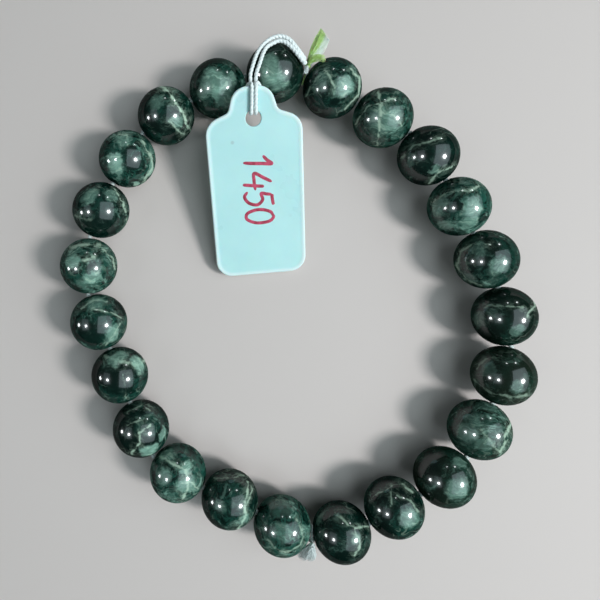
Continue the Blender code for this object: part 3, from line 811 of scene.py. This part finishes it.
def patch_group():
    """A soft patch: full within half its size of its place, gone at its size, and combed by the
    silky fibres."""
    tree, given, result = new_group(
        "stone_patch",
        [("Vector", "Vector"), ("Silk", "Float"), ("Place", "Vector"), ("Size", "Float"),
         ("Comb", "Float")],
        [("Mask", "Float")],
    )
    away = vector_math(tree, "DISTANCE", given["Vector"], given["Place"], "Value")
    inside = soft_step(tree, calculate(tree, "DIVIDE", away, given["Size"]), 0.55, 1.1, 1.0, 0.0)
    gap = calculate(tree, "SUBTRACT", 1.0, given["Silk"])
    combed = calculate(tree, "SUBTRACT", 1.0, product(tree, gap, given["Comb"]))
    feed(tree, result, {"Mask": product(tree, inside, combed, clamp=True)})
    return tree


def vein_group():
    """One straight stretch of a vein: full on the line from start to end, gone at the half
    width, with a faint silky halo beside it."""
    tree, given, result = new_group(
        "stone_vein",
        [("Vector", "Vector"), ("Silk", "Float"), ("Start", "Vector"), ("End", "Vector"),
         ("Width", "Float")],
        [("Mask", "Float")],
    )
    offset = vector_math(tree, "SUBTRACT", given["Vector"], given["Start"])
    span = vector_math(tree, "SUBTRACT", given["End"], given["Start"])
    reach = vector_math(tree, "DOT_PRODUCT", span, span, "Value")
    passed = vector_math(tree, "DOT_PRODUCT", offset, span, "Value")
    share = calculate(tree, "DIVIDE", passed, reach, clamp=True)
    nearest = vector_sum(tree, (0.0, 0.0, 0.0), span, share)
    away = vector_math(tree, "DISTANCE", offset, nearest, "Value")
    beside = calculate(tree, "DIVIDE", away, given["Width"])
    core = soft_step(tree, beside, 0.0, 1.0, 1.0, 0.0)
    halo = product(tree, soft_step(tree, beside, 0.5, 4.0, 0.35, 0.0), given["Silk"])
    feed(tree, result, {"Mask": calculate(tree, "MAXIMUM", core, halo)})
    return tree


def facing_rows(centre):
    """Rows right, up and towards the photograph's camera, as seen from a bead's middle."""
    back = unit(np.array(CAMERA_PLACE_MM) * MM - centre)
    right = unit(np.cross((0.0, 1.0, 0.0), back))
    return np.array([right, np.cross(back, right), back])


def stone_material(number, centre, groups):
    """One bead's polished stone: its ground, then its own patches and veins, under a clear
    polish. The pattern sits in the bead, turned to the side that the photograph shows."""
    cloud, net, veins, darkness, olive, marks = BEAD_LOOKS[number]
    material, shader = new_material(f"seraphinite_{number:02d}")
    tree = material.node_tree
    rows = facing_rows(centre)
    centred = add_node(tree, "ShaderNodeMapping", {
        "Vector": object_place(tree),
        "Location": tuple(-rows @ centre / BEAD_RADIUS),
        "Rotation": tuple(Matrix(rows.tolist()).to_euler()),
        "Scale": (1 / BEAD_RADIUS,) * 3,
    }).outputs[0]
    seed = tuple(start + step * number for start, step in zip(SEED_START, SEED_STEP))
    ground = place_group(tree, groups["ground"], {
        "Vector": centred, "Seed": seed, "Cloud": cloud, "Net": net, "Veins": veins,
        "Darkness": darkness, "Olive": olive})
    colour, pale = ground.outputs["Colour"], ground.outputs["Pale"]
    places = place_group(tree, groups["marks"], {"Vector": centred, "Seed": seed})
    silk = places.outputs["Silk"]
    silky = mixed_colour(tree, soft_step(tree, silk, 0.5, 1.0, 0.0, 0.7), PALE_GREEN, CREAM)
    for kind, *values in marks:
        if kind == "vein":
            width, strength, *points = values
            width = product(tree, places.outputs["Broken"], VEIN_FULLNESS * width)
            mask = None
            for start, end in zip(points, points[1:]):
                stretch = place_group(tree, groups["vein"], {
                    "Vector": places.outputs["Veins"], "Silk": silk, "Width": width,
                    "Start": (*start, 0.0), "End": (*end, 0.0)}).outputs["Mask"]
                mask = calculate(tree, "MAXIMUM", mask, stretch) if mask else stretch
            mask = product(tree, mask, places.outputs["Broken"])
            target = CREAM
        else:
            x, y, size, strength = values
            mask = place_group(tree, groups["patch"], {
                "Vector": places.outputs["Patches"], "Silk": silk, "Size": size,
                "Place": (x, y, math.sqrt(max(0.0, 1 - x * x - y * y))),
                "Comb": COMB[kind]}).outputs["Mask"]
            target = silky if kind == "patch" else DEEP_GREEN
        share = product(tree, mask, strength)
        colour = mixed_colour(tree, share, colour, target)
        if kind != "dark":
            pale = calculate(tree, "MAXIMUM", pale, share)
    # The polish fades towards the rim
    facing = add_node(tree, "ShaderNodeLayerWeight", {"Blend": 0.5}).outputs["Facing"]
    feed(tree, shader, {
        "Base Color": colour,
        "Roughness": soft_step(tree, pale, 0.0, 0.8, 0.22, 0.4),
        "Specular IOR Level": soft_step(tree, facing, 0.05, 0.5, 0.35, 0.0),
        "Coat Weight": soft_step(tree, facing, 0.12, 0.62, 1.0, 0.14),
        "Coat Roughness": POLISH_ROUGHNESS,
        "Coat IOR": POLISH_IOR,
    })
    return material


def bead_places():
    """The middle of every bead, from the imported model."""
    corners = [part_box(f"bead_{number:02d}") for number in range(1, BEAD_COUNT + 1)]
    return np.array([(low + high) / 2 for low, high in corners])


def bead_directions(places):
    """The way each bore points: each bead is turned until its mouths meet the mouths beside it."""
    directions = unit(np.roll(places, -1, axis=0) - np.roll(places, 1, axis=0))
    for _ in range(MOUTH_PASSES):
        leaving = places + directions * BEAD_RADIUS
        entering = np.roll(places - directions * BEAD_RADIUS, -1, axis=0)
        meetings = (leaving + entering) / 2
        directions = unit(meetings - np.roll(meetings, 1, axis=0))
    return directions


def bead_outline():
    """Half the section of a drilled ball, as (radius, height) round a closed loop.

    The ball is an arc of its radius. The mouth is a small arc that touches the ball and the
    bore. The bore is a straight line back to the other mouth.
    """
    reach = BORE_RADIUS + MOUTH_ROUND
    mouth_height = math.sqrt((BEAD_RADIUS - MOUTH_ROUND) ** 2 - reach ** 2)
    rim_angle = math.atan2(reach, mouth_height)
    ball = np.linspace(rim_angle, math.pi - rim_angle, BEAD_ALONG)
    mouth = np.linspace(-math.pi / 2, rim_angle, MOUTH_STEPS)[:-1]
    mouth_radius = reach + MOUTH_ROUND * np.sin(mouth)
    mouth_rise = mouth_height + MOUTH_ROUND * np.cos(mouth)
    bore = np.linspace(-mouth_height, mouth_height, BORE_STEPS)[1:-1]
    radius = np.concatenate([
        mouth_radius, BEAD_RADIUS * np.sin(ball), mouth_radius[::-1], np.full(len(bore), BORE_RADIUS)])
    height = np.concatenate([mouth_rise, BEAD_RADIUS * np.cos(ball), -mouth_rise[::-1], bore])
    return radius, height


def add_beads(places, directions, groups):
    """The drilled beads: the outline turned round each bore, point = middle + bore direction x
    height + radius x (side x cos a + up x sin a)."""
    radius, height = bead_outline()
    angle = np.arange(BEAD_AROUND) / BEAD_AROUND * TURN
    faces = [grid_faces(len(radius), BEAD_AROUND, True, True)]
    for number, (place, direction) in enumerate(zip(places, directions), start=1):
        up = np.array((0.0, 0.0, 1.0))
        side = unit(np.cross(up, direction))
        ring = side * np.cos(angle)[:, None] + up * np.sin(angle)[:, None]
        points = place + direction * height[:, None, None] + ring[None] * radius[:, None, None]
        name = f"bead_{number:02d}"
        add_piece(
            "polished_" + name, points.reshape(-1, 3), faces, stone_material(number, place, groups),
            [name],
        )


def elastic_material():
    """Clear white stretch line: fine filaments under a soft sheen, whiter where it is frayed."""
    material, shader = new_material("clear_elastic")
    tree = material.node_tree
    grain = noise(tree, object_place(tree), 9000.0, 3.0)
    frayed = soft_step(tree, attribute(tree, "along"), 0.0, 0.3)
    line = mixed_colour(tree, grain, *ELASTIC_LINE_COLOURS)
    fibres = mixed_colour(tree, grain, *ELASTIC_FIBRE_COLOURS)
    feed(tree, shader, {
        "Base Color": mixed_colour(tree, frayed, line, fibres),
        "Normal": bump_normal(tree, grain, ELASTIC_RELIEF),
        "Roughness": 0.45,
        "Sheen Weight": 0.4,
    })
    return material


def add_elastic(places, directions, material):
    """The strand: a round tube through two points of every bore, closed into a ring."""
    reach = directions * STRAIGHT_IN_BORE
    ends = np.stack([places - reach, places + reach], axis=1)
    path = smooth_curve(ends.reshape(-1, 3), ELASTIC_STEPS, closed=True)
    grid = tube_grid(path, ELASTIC_RADIUS, ELASTIC_AROUND, closed=True)
    faces = [grid_faces(len(path), ELASTIC_AROUND, True, True)]
    add_piece("elastic_line", grid.reshape(-1, 3), faces, material, ["elastic_strand"])


def knot_frame(places, number):
    """The middle of the groove after a bead, the strand's way there, and the knot's middle."""
    here, following = places[number - 1], places[number % BEAD_COUNT]
    middle = (here + following) / 2
    along = unit(following - here)
    outward = np.cross(along, (0.0, 0.0, -1.0))
    outward = unit(outward * np.sign(outward @ middle))
    lifted = outward * math.cos(KNOT_LIFT) + np.array((0.0, 0.0, 1.0)) * math.sin(KNOT_LIFT)
    return middle, along, middle + lifted * KNOT_REACH


def add_knot(name, node, places, number, material, fibre_place=0.0):
    """An overhand knot, on the closed line x = sin t + 2 sin 2t, y = cos t - 2 cos 2t,
    z = -height x sin 3t, drawn small. A turn of line round the strand holds it, and a short
    stem joins the two. Its material reads how far along the fibres the knot counts."""
    middle, along, centre = knot_frame(places, number)
    outward = unit(centre - middle)
    third = np.cross(outward, along)
    t = np.arange(KNOT_STEPS) / KNOT_STEPS * TURN
    x = np.sin(t) + 2 * np.sin(2 * t)
    y = np.cos(t) - 2 * np.cos(2 * t)
    z = -KNOT_HEIGHT * np.sin(3 * t)
    line = centre + KNOT_SIZE / 3 * (x[:, None] * along + y[:, None] * third + z[:, None] * outward)
    turn = np.cos(t)[:, None] * outward + np.sin(t)[:, None] * third
    around = middle + turn * HOLDING_TURN_RADIUS
    stem = np.linspace(middle + outward * HOLDING_TURN_RADIUS, centre, STEM_STEPS)
    shapes = []
    for path, thickness in ((line, KNOT_LINE_RADIUS), (around, HOLDING_LINE_RADIUS)):
        grid = tube_grid(path, thickness, KNOT_LINE_AROUND, closed=True)
        shapes.append((grid.reshape(-1, 3), [grid_faces(len(path), KNOT_LINE_AROUND, True, True)]))
    shapes.append(capped_tube(tube_grid(stem, HOLDING_LINE_RADIUS, KNOT_LINE_AROUND)))
    points, faces = joined(shapes)
    attributes = {"along": np.full(len(points), fibre_place)}
    add_piece(name, points, faces, material, [node], attributes)


def rounded_outline(corners):
    """A closed outline from (x, y, round) corners, each replaced by an arc that meets both
    sides. The arc's middle lies half way between the sides, its radius / sin(half the corner's
    angle) from the corner."""
    outline = []
    count = len(corners)
    for index in range(count):
        corner = Vector(corners[index][:2])
        radius = corners[index][2]
        back = (Vector(corners[index - 1][:2]) - corner).normalized()
        ahead = (Vector(corners[(index + 1) % count][:2]) - corner).normalized()
        half = back.angle(ahead) / 2
        centre = corner + (back + ahead).normalized() * radius / math.sin(half)
        first = corner + back * radius / math.tan(half) - centre
        last = corner + ahead * radius / math.tan(half) - centre
        swing = first.angle_signed(last)
        for step in range(CORNER_STEPS + 1):
            turned = Matrix.Rotation(-swing * step / CORNER_STEPS, 2) @ first
            outline.append(centre + turned)
    return np.array([(*point, 0.0) for point in outline])


def tag_outline():
    """The tag's outline at equal steps: a rounded rectangle with shoulders and a domed neck."""
    half = TAG_WIDTH / 2
    right_side = [
        (half, 0.0, TAG_FOOT_ROUND),
        (half, TAG_SHOULDER_HEIGHT, TAG_SHOULDER_ROUND),
        (*TAG_NECK_FOOT, TAG_NECK_FOOT_ROUND),
        (TAG_NECK_HALF_TOP, TAG_LENGTH, TAG_NECK_ROUND),
    ]
    left_side = [(-x, y, radius) for x, y, radius in reversed(right_side)]
    outline = rounded_outline(right_side + left_side)
    return even_curve(np.concatenate([outline, outline[:1]]), OUTLINE_POINTS + 1)[:-1]


def tag_matrix():
    """The tag's place: its lower edge by the floor and its neck lifted beside the first bead."""
    return (
        Matrix.Translation(TAG_PLACE)
        @ Matrix.Rotation(TAG_TURN, 4, "Z")
        @ Matrix.Rotation(TAG_SLOPE, 4, "X")
        @ Matrix.Rotation(TAG_ROLL, 4, "Y")
    )


def moved(points, matrix):
    """An array of points carried by a 4 x 4 matrix."""
    matrix = np.array(matrix)
    return points @ matrix[:3, :3].T + matrix[:3, 3]


def add_tag(material):
    """The tag: a closed section carried round its outline. The section runs up the wall of the
    hole, out across the front, over a low lip and a rounded edge, and back across the back. A
    point at inset i is outline + inward x i, and one by the hole lies on a circle round it. The
    lip climbs by t^2 (3 - 2t) and the edge is a quarter of a circle."""
    outline = tag_outline()
    ahead = unit(np.roll(outline, -1, axis=0) - np.roll(outline, 1, axis=0))
    inward = np.cross((0.0, 0.0, 1.0), ahead)
    hole_middle = np.array((0.0, TAG_HOLE_HEIGHT, 0.0))
    if np.mean(np.einsum("ij,ij->i", inward, hole_middle - outline)) < 0:
        inward = -inward
    spokes = unit(outline - hole_middle)

    face, top, small = TAG_FACE_HEIGHT, TAG_HALF_THICKNESS, HOLE_EDGE_ROUND
    by_hole = [
        (small, -top), (HOLE_EDGE_MIDDLE, small - top), (0.0, 2 * small - top), (0.0, 0.0),
        (0.0, face - 2 * small), (HOLE_EDGE_MIDDLE, face - small), (small, face), (3 * small, face)]
    quarter = np.linspace(0.0, math.pi / 2, TAG_EDGE_STEPS)
    lip = np.linspace(0.0, 1.0, TAG_LIP_STEPS)
    lip_inset = TAG_LIP_WIDTH + (TAG_EDGE_ROUND - TAG_LIP_WIDTH) * lip
    lip_height = face + (top - face) * lip ** 2 * (3 - 2 * lip)
    edge_inset = TAG_EDGE_ROUND * (1 - np.sin(quarter))
    edge_height = top - TAG_EDGE_ROUND * (1 - np.cos(quarter))
    insets = np.concatenate([lip_inset[:-1], edge_inset, edge_inset[::-1], [TAG_LIP_WIDTH]])
    heights = np.concatenate([lip_height[:-1], edge_height, -edge_height[::-1], [-top]])

    rows = [hole_middle + spokes * (TAG_HOLE_RADIUS + out) + (0, 0, height) for out, height in by_hole]
    rows += [outline + inward * inset + (0, 0, height) for inset, height in zip(insets, heights)]
    grid = moved(np.array(rows), tag_matrix())
    # Where the lip lies, for the painted highlight that the tag material mixes in there
    lip_highlight_share = np.clip(1 - (insets - TAG_EDGE_ROUND) / (TAG_LIP_WIDTH - TAG_EDGE_ROUND), 0, 1)
    share = np.concatenate([np.zeros(len(by_hole)), lip_highlight_share])
    faces = [grid_faces(len(rows), OUTLINE_POINTS, True, True)]
    return add_piece(
        "tag_plate", grid.reshape(-1, 3), faces, material, ["tag"],
        {"lip": np.repeat(share, OUTLINE_POINTS)},
    )


def tag_material():
    """Cool white pressed plastic: a soft gloss with faint ripples, a painted highlight that whitens
    its lip, and a few small grey specks."""
    material, shader = new_material("tag_plastic")
    tree = material.node_tree
    coordinates = object_place(tree)
    clouds = noise(tree, coordinates, 160.0, 3.0)
    cloudy = soft_step(tree, clouds, 0.3, 0.7)
    colour = mixed_colour(tree, cloudy, *TAG_COLOURS)
    # Painted highlight: the lip is mixed towards a whiter colour, standing in for light caught on the
    # rounded lip
    lip = soft_step(tree, attribute(tree, "lip"), 0.0, 1.0, 0.0, 0.6)
    colour = mixed_colour(tree, lip, colour, TAG_LIP_HIGHLIGHT_COLOUR)
    cells = add_node(tree, "ShaderNodeTexVoronoi", {"Vector": coordinates, "Scale": 330.0})
    speck = soft_step(tree, cells.outputs["Distance"], 0.05, 0.12, 0.35, 0.0)
    rare = soft_step(tree, noise(tree, coordinates, 120.0, 1.0), 0.6, 0.68)
    speck = product(tree, speck, rare)
    ripples = noise(tree, coordinates, 420.0, 2.0)
    feed(tree, shader, {
        "Base Color": mixed_colour(tree, speck, colour, TAG_SPECK_COLOUR),
        "Normal": bump_normal(tree, ripples, TAG_RELIEF),
        "Roughness": soft_step(tree, clouds, 0.3, 0.7, 0.26, 0.36),
        "Subsurface Weight": 0.15,
        "Subsurface Scale": 0.6 * MM,
    })
    return material


def ink_material():
    """Crimson pen ink: a little darker where it pooled, with a slight gloss."""
    material, shader = new_material("crimson_ink")
    tree = material.node_tree
    pooled = noise(tree, object_place(tree), 1500.0, 3.0)
    spread = soft_step(tree, pooled, 0.35, 0.65)
    feed(tree, shader, {
        "Base Color": mixed_colour(tree, spread, *INK_COLOURS),
        "Roughness": soft_step(tree, pooled, 0.3, 0.7, 0.35, 0.5),
    })
    return material


def add_number(material):
    """Four plain digits in pen down the tag. Each stroke is a low mound carried along a smooth
    line. Its half width is the pen's x square root of (1 - progress^12), which rounds both
    ends, where progress runs from -1 to 1, and its height falls off to its sides as a half
    ellipse."""
    shapes = []
    across = np.linspace(0.0, math.pi, PEN_AROUND)
    for place, strokes in enumerate(DIGIT_STROKES):
        for stroke in strokes:
            drawn = smooth_curve(stroke, PEN_STEPS) * DIGIT_HEIGHT
            along = NUMBER_START - place * DIGIT_PITCH - drawn[:, 0]
            height = np.full(len(drawn), TAG_FACE_HEIGHT)
            path = np.stack([DIGIT_BASE + drawn[:, 1], along, height], axis=1)
            ahead = unit(np.gradient(path, axis=0))
            side = np.cross((0.0, 0.0, 1.0), ahead)
            progress = np.linspace(-1.0, 1.0, len(path))
            rounding = np.clip(1 - progress ** PEN_END_POWER, PEN_LEAST_SHARE, 1)
            width = PEN_HALF_WIDTH * np.sqrt(rounding)
            mound = path[:, None] + side[:, None] * (width[:, None] * np.cos(across))[..., None]
            mound[..., 2] += INK_HEIGHT * np.sin(across)
            shapes.append(capped_tube(moved(mound, tag_matrix())))
    points, faces = joined(shapes)
    return add_piece("tag_number", points, faces, material)


def thread_route():
    """The whole thread: out along one run, round the hitch, and back along the other run. A
    hitch point is moved sideways by the lean x its height over the hole's middle."""
    hole = tag_matrix() @ Matrix.Translation((0.0, TAG_HOLE_HEIGHT, 0.0))

    def hitch(points, side):
        points = np.array(points) * (side, 1, 1)
        points[:, 0] += HITCH_LEAN * points[:, 1]
        return moved(points * MM, hole)

    out = [np.array(OUTER_RUN_MM) * MM, hitch(TAIL_SIDE_MM + FRONT_SIDE_MM + WRAP_SIDE_MM, -1)]
    back = [np.array(INNER_RUN_MM) * MM, hitch(TAIL_SIDE_MM + FRONT_SIDE_MM + WRAP_SIDE_MM, 1)]
    return np.concatenate([*out, hitch([LOOP_END_MM], 1), np.concatenate(back)[::-1]])


def thread_material():
    """White cotton thread: fine filaments that follow the twist, with a soft sheen, and painted
    shade that darkens the grooves between its plies.
    """
    material, shader = new_material("white_thread")
    tree = material.node_tree
    places = {"X": attribute(tree, "filament"), "Y": attribute(tree, "along")}
    strand = add_node(tree, "ShaderNodeCombineXYZ", places).outputs["Vector"]
    filaments = noise(tree, strand, 1.0, 3.0, 0.6)
    bright = soft_step(tree, filaments, 0.3, 0.7)
    colour = mixed_colour(tree, bright, *THREAD_COLOURS)
    # Painted shade: the grooves between the plies are mixed towards a darker grey
    groove_shade = soft_step(tree, attribute(tree, "groove_shade"), 0.0, 1.0, 0.0, 0.3)
    feed(tree, shader, {
        "Base Color": mixed_colour(tree, groove_shade, colour, THREAD_GROOVE_SHADE_COLOUR),
        "Normal": bump_normal(tree, filaments, THREAD_RELIEF),
        "Roughness": 0.6,
        "Sheen Weight": 0.5,
    })
    return material


def add_thread(material):
    """The tag's thread, two plies twisted together: the radius is least at the two waists
    between the plies, radius x (waist + (1 - waist) x |cos b|), and b turns along the thread.
    It is tight by the tag and fuller by the knot, by tight share + full share x |place|^3,
    where the place runs from -1 at one end to 1 at the other."""
    rough = smooth_curve(thread_route(), THREAD_STEPS)
    path = even_curve(rough, len(rough))
    length = float(np.linalg.norm(np.diff(path, axis=0), axis=1).sum())
    along_mm = np.linspace(0.0, length / MM, len(path))
    angle = np.arange(THREAD_AROUND) / THREAD_AROUND * TURN
    twisted = angle[None, :] - along_mm[:, None] * THREAD_TURNS_PER_MM * TURN
    lobe = np.abs(np.cos(twisted))
    place = np.linspace(-1.0, 1.0, len(path))[:, None]
    fullness = TIGHT_SHARE + FULL_SHARE * np.abs(place) ** 3
    radii = THREAD_RADIUS * fullness * (PLY_WAIST + (1 - PLY_WAIST) * lobe)
    points, faces = capped_tube(tube_grid(path, radii, THREAD_AROUND))
    filament = FILAMENTS_AROUND[0] * np.sin(twisted) + FILAMENTS_AROUND[1] * np.cos(twisted)
    ends = np.zeros(2)
    attributes = {
        # Share of painted shade in the grooves between the plies
        "groove_shade": np.concatenate([(1 - lobe).ravel() ** 3, ends]),
        "along": np.concatenate([np.repeat(along_mm * FILAMENTS_PER_MM, THREAD_AROUND), ends]),
        "filament": np.concatenate([filament.ravel(), ends]),
    }
    thread = add_piece(
        "twisted_thread", points, faces, material, ["tag_thread"], attributes)


def fibre_bundle(
        random, root, count, tip_mm, half_width, root_radius, depth, bow, fibre_radius, slant=0.0):
    """Many fine fibres from a root to a fan of tips, as one set of points and faces.

    Each fibre leaves the root at a random place in a small disc, ends at the tip plus a random
    share of the fan's width and bows to one side by its own bow x 4t(1 - t). Its ripple is
    sin(start + rate x t) x t. The slant shortens the fan's far side and lengthens its near
    side. Each fibre is a tube whose radius narrows by 1 - thinning x t^2. The last two values
    returned are, for each point, its fibre's place across the fan and its place along the
    fibre, both from 0 to 1.
    """
    tip = np.array(tip_mm) * MM
    ahead = unit(tip - root)
    across = unit(np.cross(ahead, (0.0, 0.0, 1.0)))
    up = np.cross(across, ahead)
    t = np.linspace(0.0, 1.0, FIBRE_STEPS)
    share = random.uniform(-1, 1, count)
    rise = random.uniform(-1, 1, count) * depth
    start_angle = random.uniform(0, TURN, count)
    start_reach = root_radius * np.sqrt(random.uniform(0, 1, count))
    start_way = across * np.cos(start_angle)[:, None] + up * np.sin(start_angle)[:, None]
    start = root + start_way * start_reach[:, None]
    stop = tip + across * (share * half_width)[:, None] + up * (rise * half_width)[:, None]
    cut = random.uniform(0, 1, count) ** 2 * LONGEST_CUT * np.linalg.norm(tip - root)
    stop -= ahead * (cut + share * slant)[:, None]
    path = start[:, None] + (stop - start)[:, None] * t[None, :, None]
    wave = random.normal(0, 1, (count, 2)) * BOW_SPREAD + (bow, BOW_RISE)
    arch = (4 * t * (1 - t))[None, :, None] * half_width
    path = path + arch * (across * wave[:, :1, None] + up * wave[:, 1:, None])
    ripple = random.uniform(0, TURN, (count, 1)) + t * random.uniform(*RIPPLE_RATES, (count, 1))
    path = path + (np.sin(ripple) * RIPPLE_SHARE * half_width * t)[..., None] * across
    side = unit(np.cross(ahead, ASIDE_OF_FIBRES))
    other = np.cross(ahead, side)
    angle = np.arange(FIBRE_SIDES) / FIBRE_SIDES * TURN
    ring = side * np.cos(angle)[:, None] + other * np.sin(angle)[:, None]
    radii = fibre_radius * (1 - TIP_THINNING * t ** 2)
    points = path[:, :, None] + radii[None, :, None, None] * ring[None, None]
    block = grid_faces(FIBRE_STEPS, FIBRE_SIDES, False, True)
    each = FIBRE_STEPS * FIBRE_SIDES
    first = np.arange(FIBRE_SIDES)[::-1]
    caps = np.stack([first, first[::-1] + each - FIBRE_SIDES])
    offsets = (np.arange(count) * each)[:, None, None]
    faces = [(block[None] + offsets).reshape(-1, 4), (caps[None] + offsets).reshape(-1, FIBRE_SIDES)]
    place_across = np.repeat((share + 1) / 2, each)
    place_along = np.tile(np.repeat(t, FIBRE_SIDES), count)
    return points.reshape(-1, 3), faces, place_across, place_along


def yarn_material():
    """Lime green yarn that fades to white across the tuft, with painted shade that darkens it to a
    deep green at its root and, in part, in its knot.
    """
    material, shader = new_material("green_yarn")
    tree = material.node_tree
    grain = soft_step(tree, noise(tree, object_place(tree), 2600.0, 2.0), 0.3, 0.7)
    lime = mixed_colour(tree, grain, *YARN_LIMES)
    white = soft_step(tree, attribute(tree, "white"), 0.48, 0.68)
    colour = mixed_colour(tree, white, lime, YARN_WHITE)
    # Painted shade at the root, where the fibres gather into the knot between the beads
    root = soft_step(tree, attribute(tree, "along"), 0.0, 0.3, 0.7, 0.0)
    feed(tree, shader, {
        "Base Color": mixed_colour(tree, root, colour, YARN_ROOT_SHADE_GREEN),
        "Roughness": 0.65,
        "Sheen Weight": 0.3,
        "Subsurface Weight": 0.2,
        "Subsurface Scale": 0.3 * MM,
    })
    return material


def add_tufts(places, yarn, thread, elastic):
    """The frayed ends: yarn and a thread's tail at the tied knot, elastic at the join knot."""
    random = np.random.default_rng(FIBRE_SEED)
    tied = knot_frame(places, TIED_AFTER)[2]
    join = knot_frame(places, JOIN_AFTER)[2]

    blade = fibre_bundle(random, tied, **YARN_BLADE)
    stray = fibre_bundle(random, tied, **STRAY_YARN)
    points, faces = joined([blade[:2], stray[:2]])
    attributes = {
        "white": np.concatenate([blade[2], stray[2] * STRAY_WHITENESS]),
        "along": np.concatenate([blade[3], stray[3]]),
    }
    add_piece("yarn_fibres", points, faces, yarn, ["yarn_tuft"], attributes)

    points, faces, across, along = fibre_bundle(random, tied, **THREAD_TAIL)
    # The tail takes a little of the thread's painted groove shade, more to one side of its fan
    attributes = {
        "groove_shade": across * TAIL_GROOVE_SHADE,
        "along": along * TAIL_ALONG,
        "filament": across * TAIL_FILAMENTS,
    }
    add_piece(
        "thread_tail_fibres", points, faces, thread, ["thread_tail"], attributes)

    points, faces, _, along = fibre_bundle(random, join, **ELASTIC_ENDS)
    add_piece(
        "elastic_frayed_ends", points, faces, elastic, ["elastic_ends"], {"along": along})


def main():
    add_camera()
    add_studio()
    places = bead_places()
    directions = bead_directions(places)

    thread = thread_material()
    tag = add_tag(tag_material())
    number = add_number(ink_material())
    add_thread(thread)

    folded_grain = fold_group()
    groups = {
        "ground": ground_group(folded_grain),
        "marks": mark_group(folded_grain),
        "patch": patch_group(),
        "vein": vein_group(),
    }
    elastic = elastic_material()
    add_beads(places, directions, groups)
    add_elastic(places, directions, elastic)
    yarn = yarn_material()
    add_knot("tied_yarn_knot", "tied_knot", places, TIED_AFTER, yarn, YARN_KNOT_ALONG)
    add_knot("join_line_knot", "join_knot", places, JOIN_AFTER, elastic)
    add_tufts(places, yarn, thread, elastic)


main()
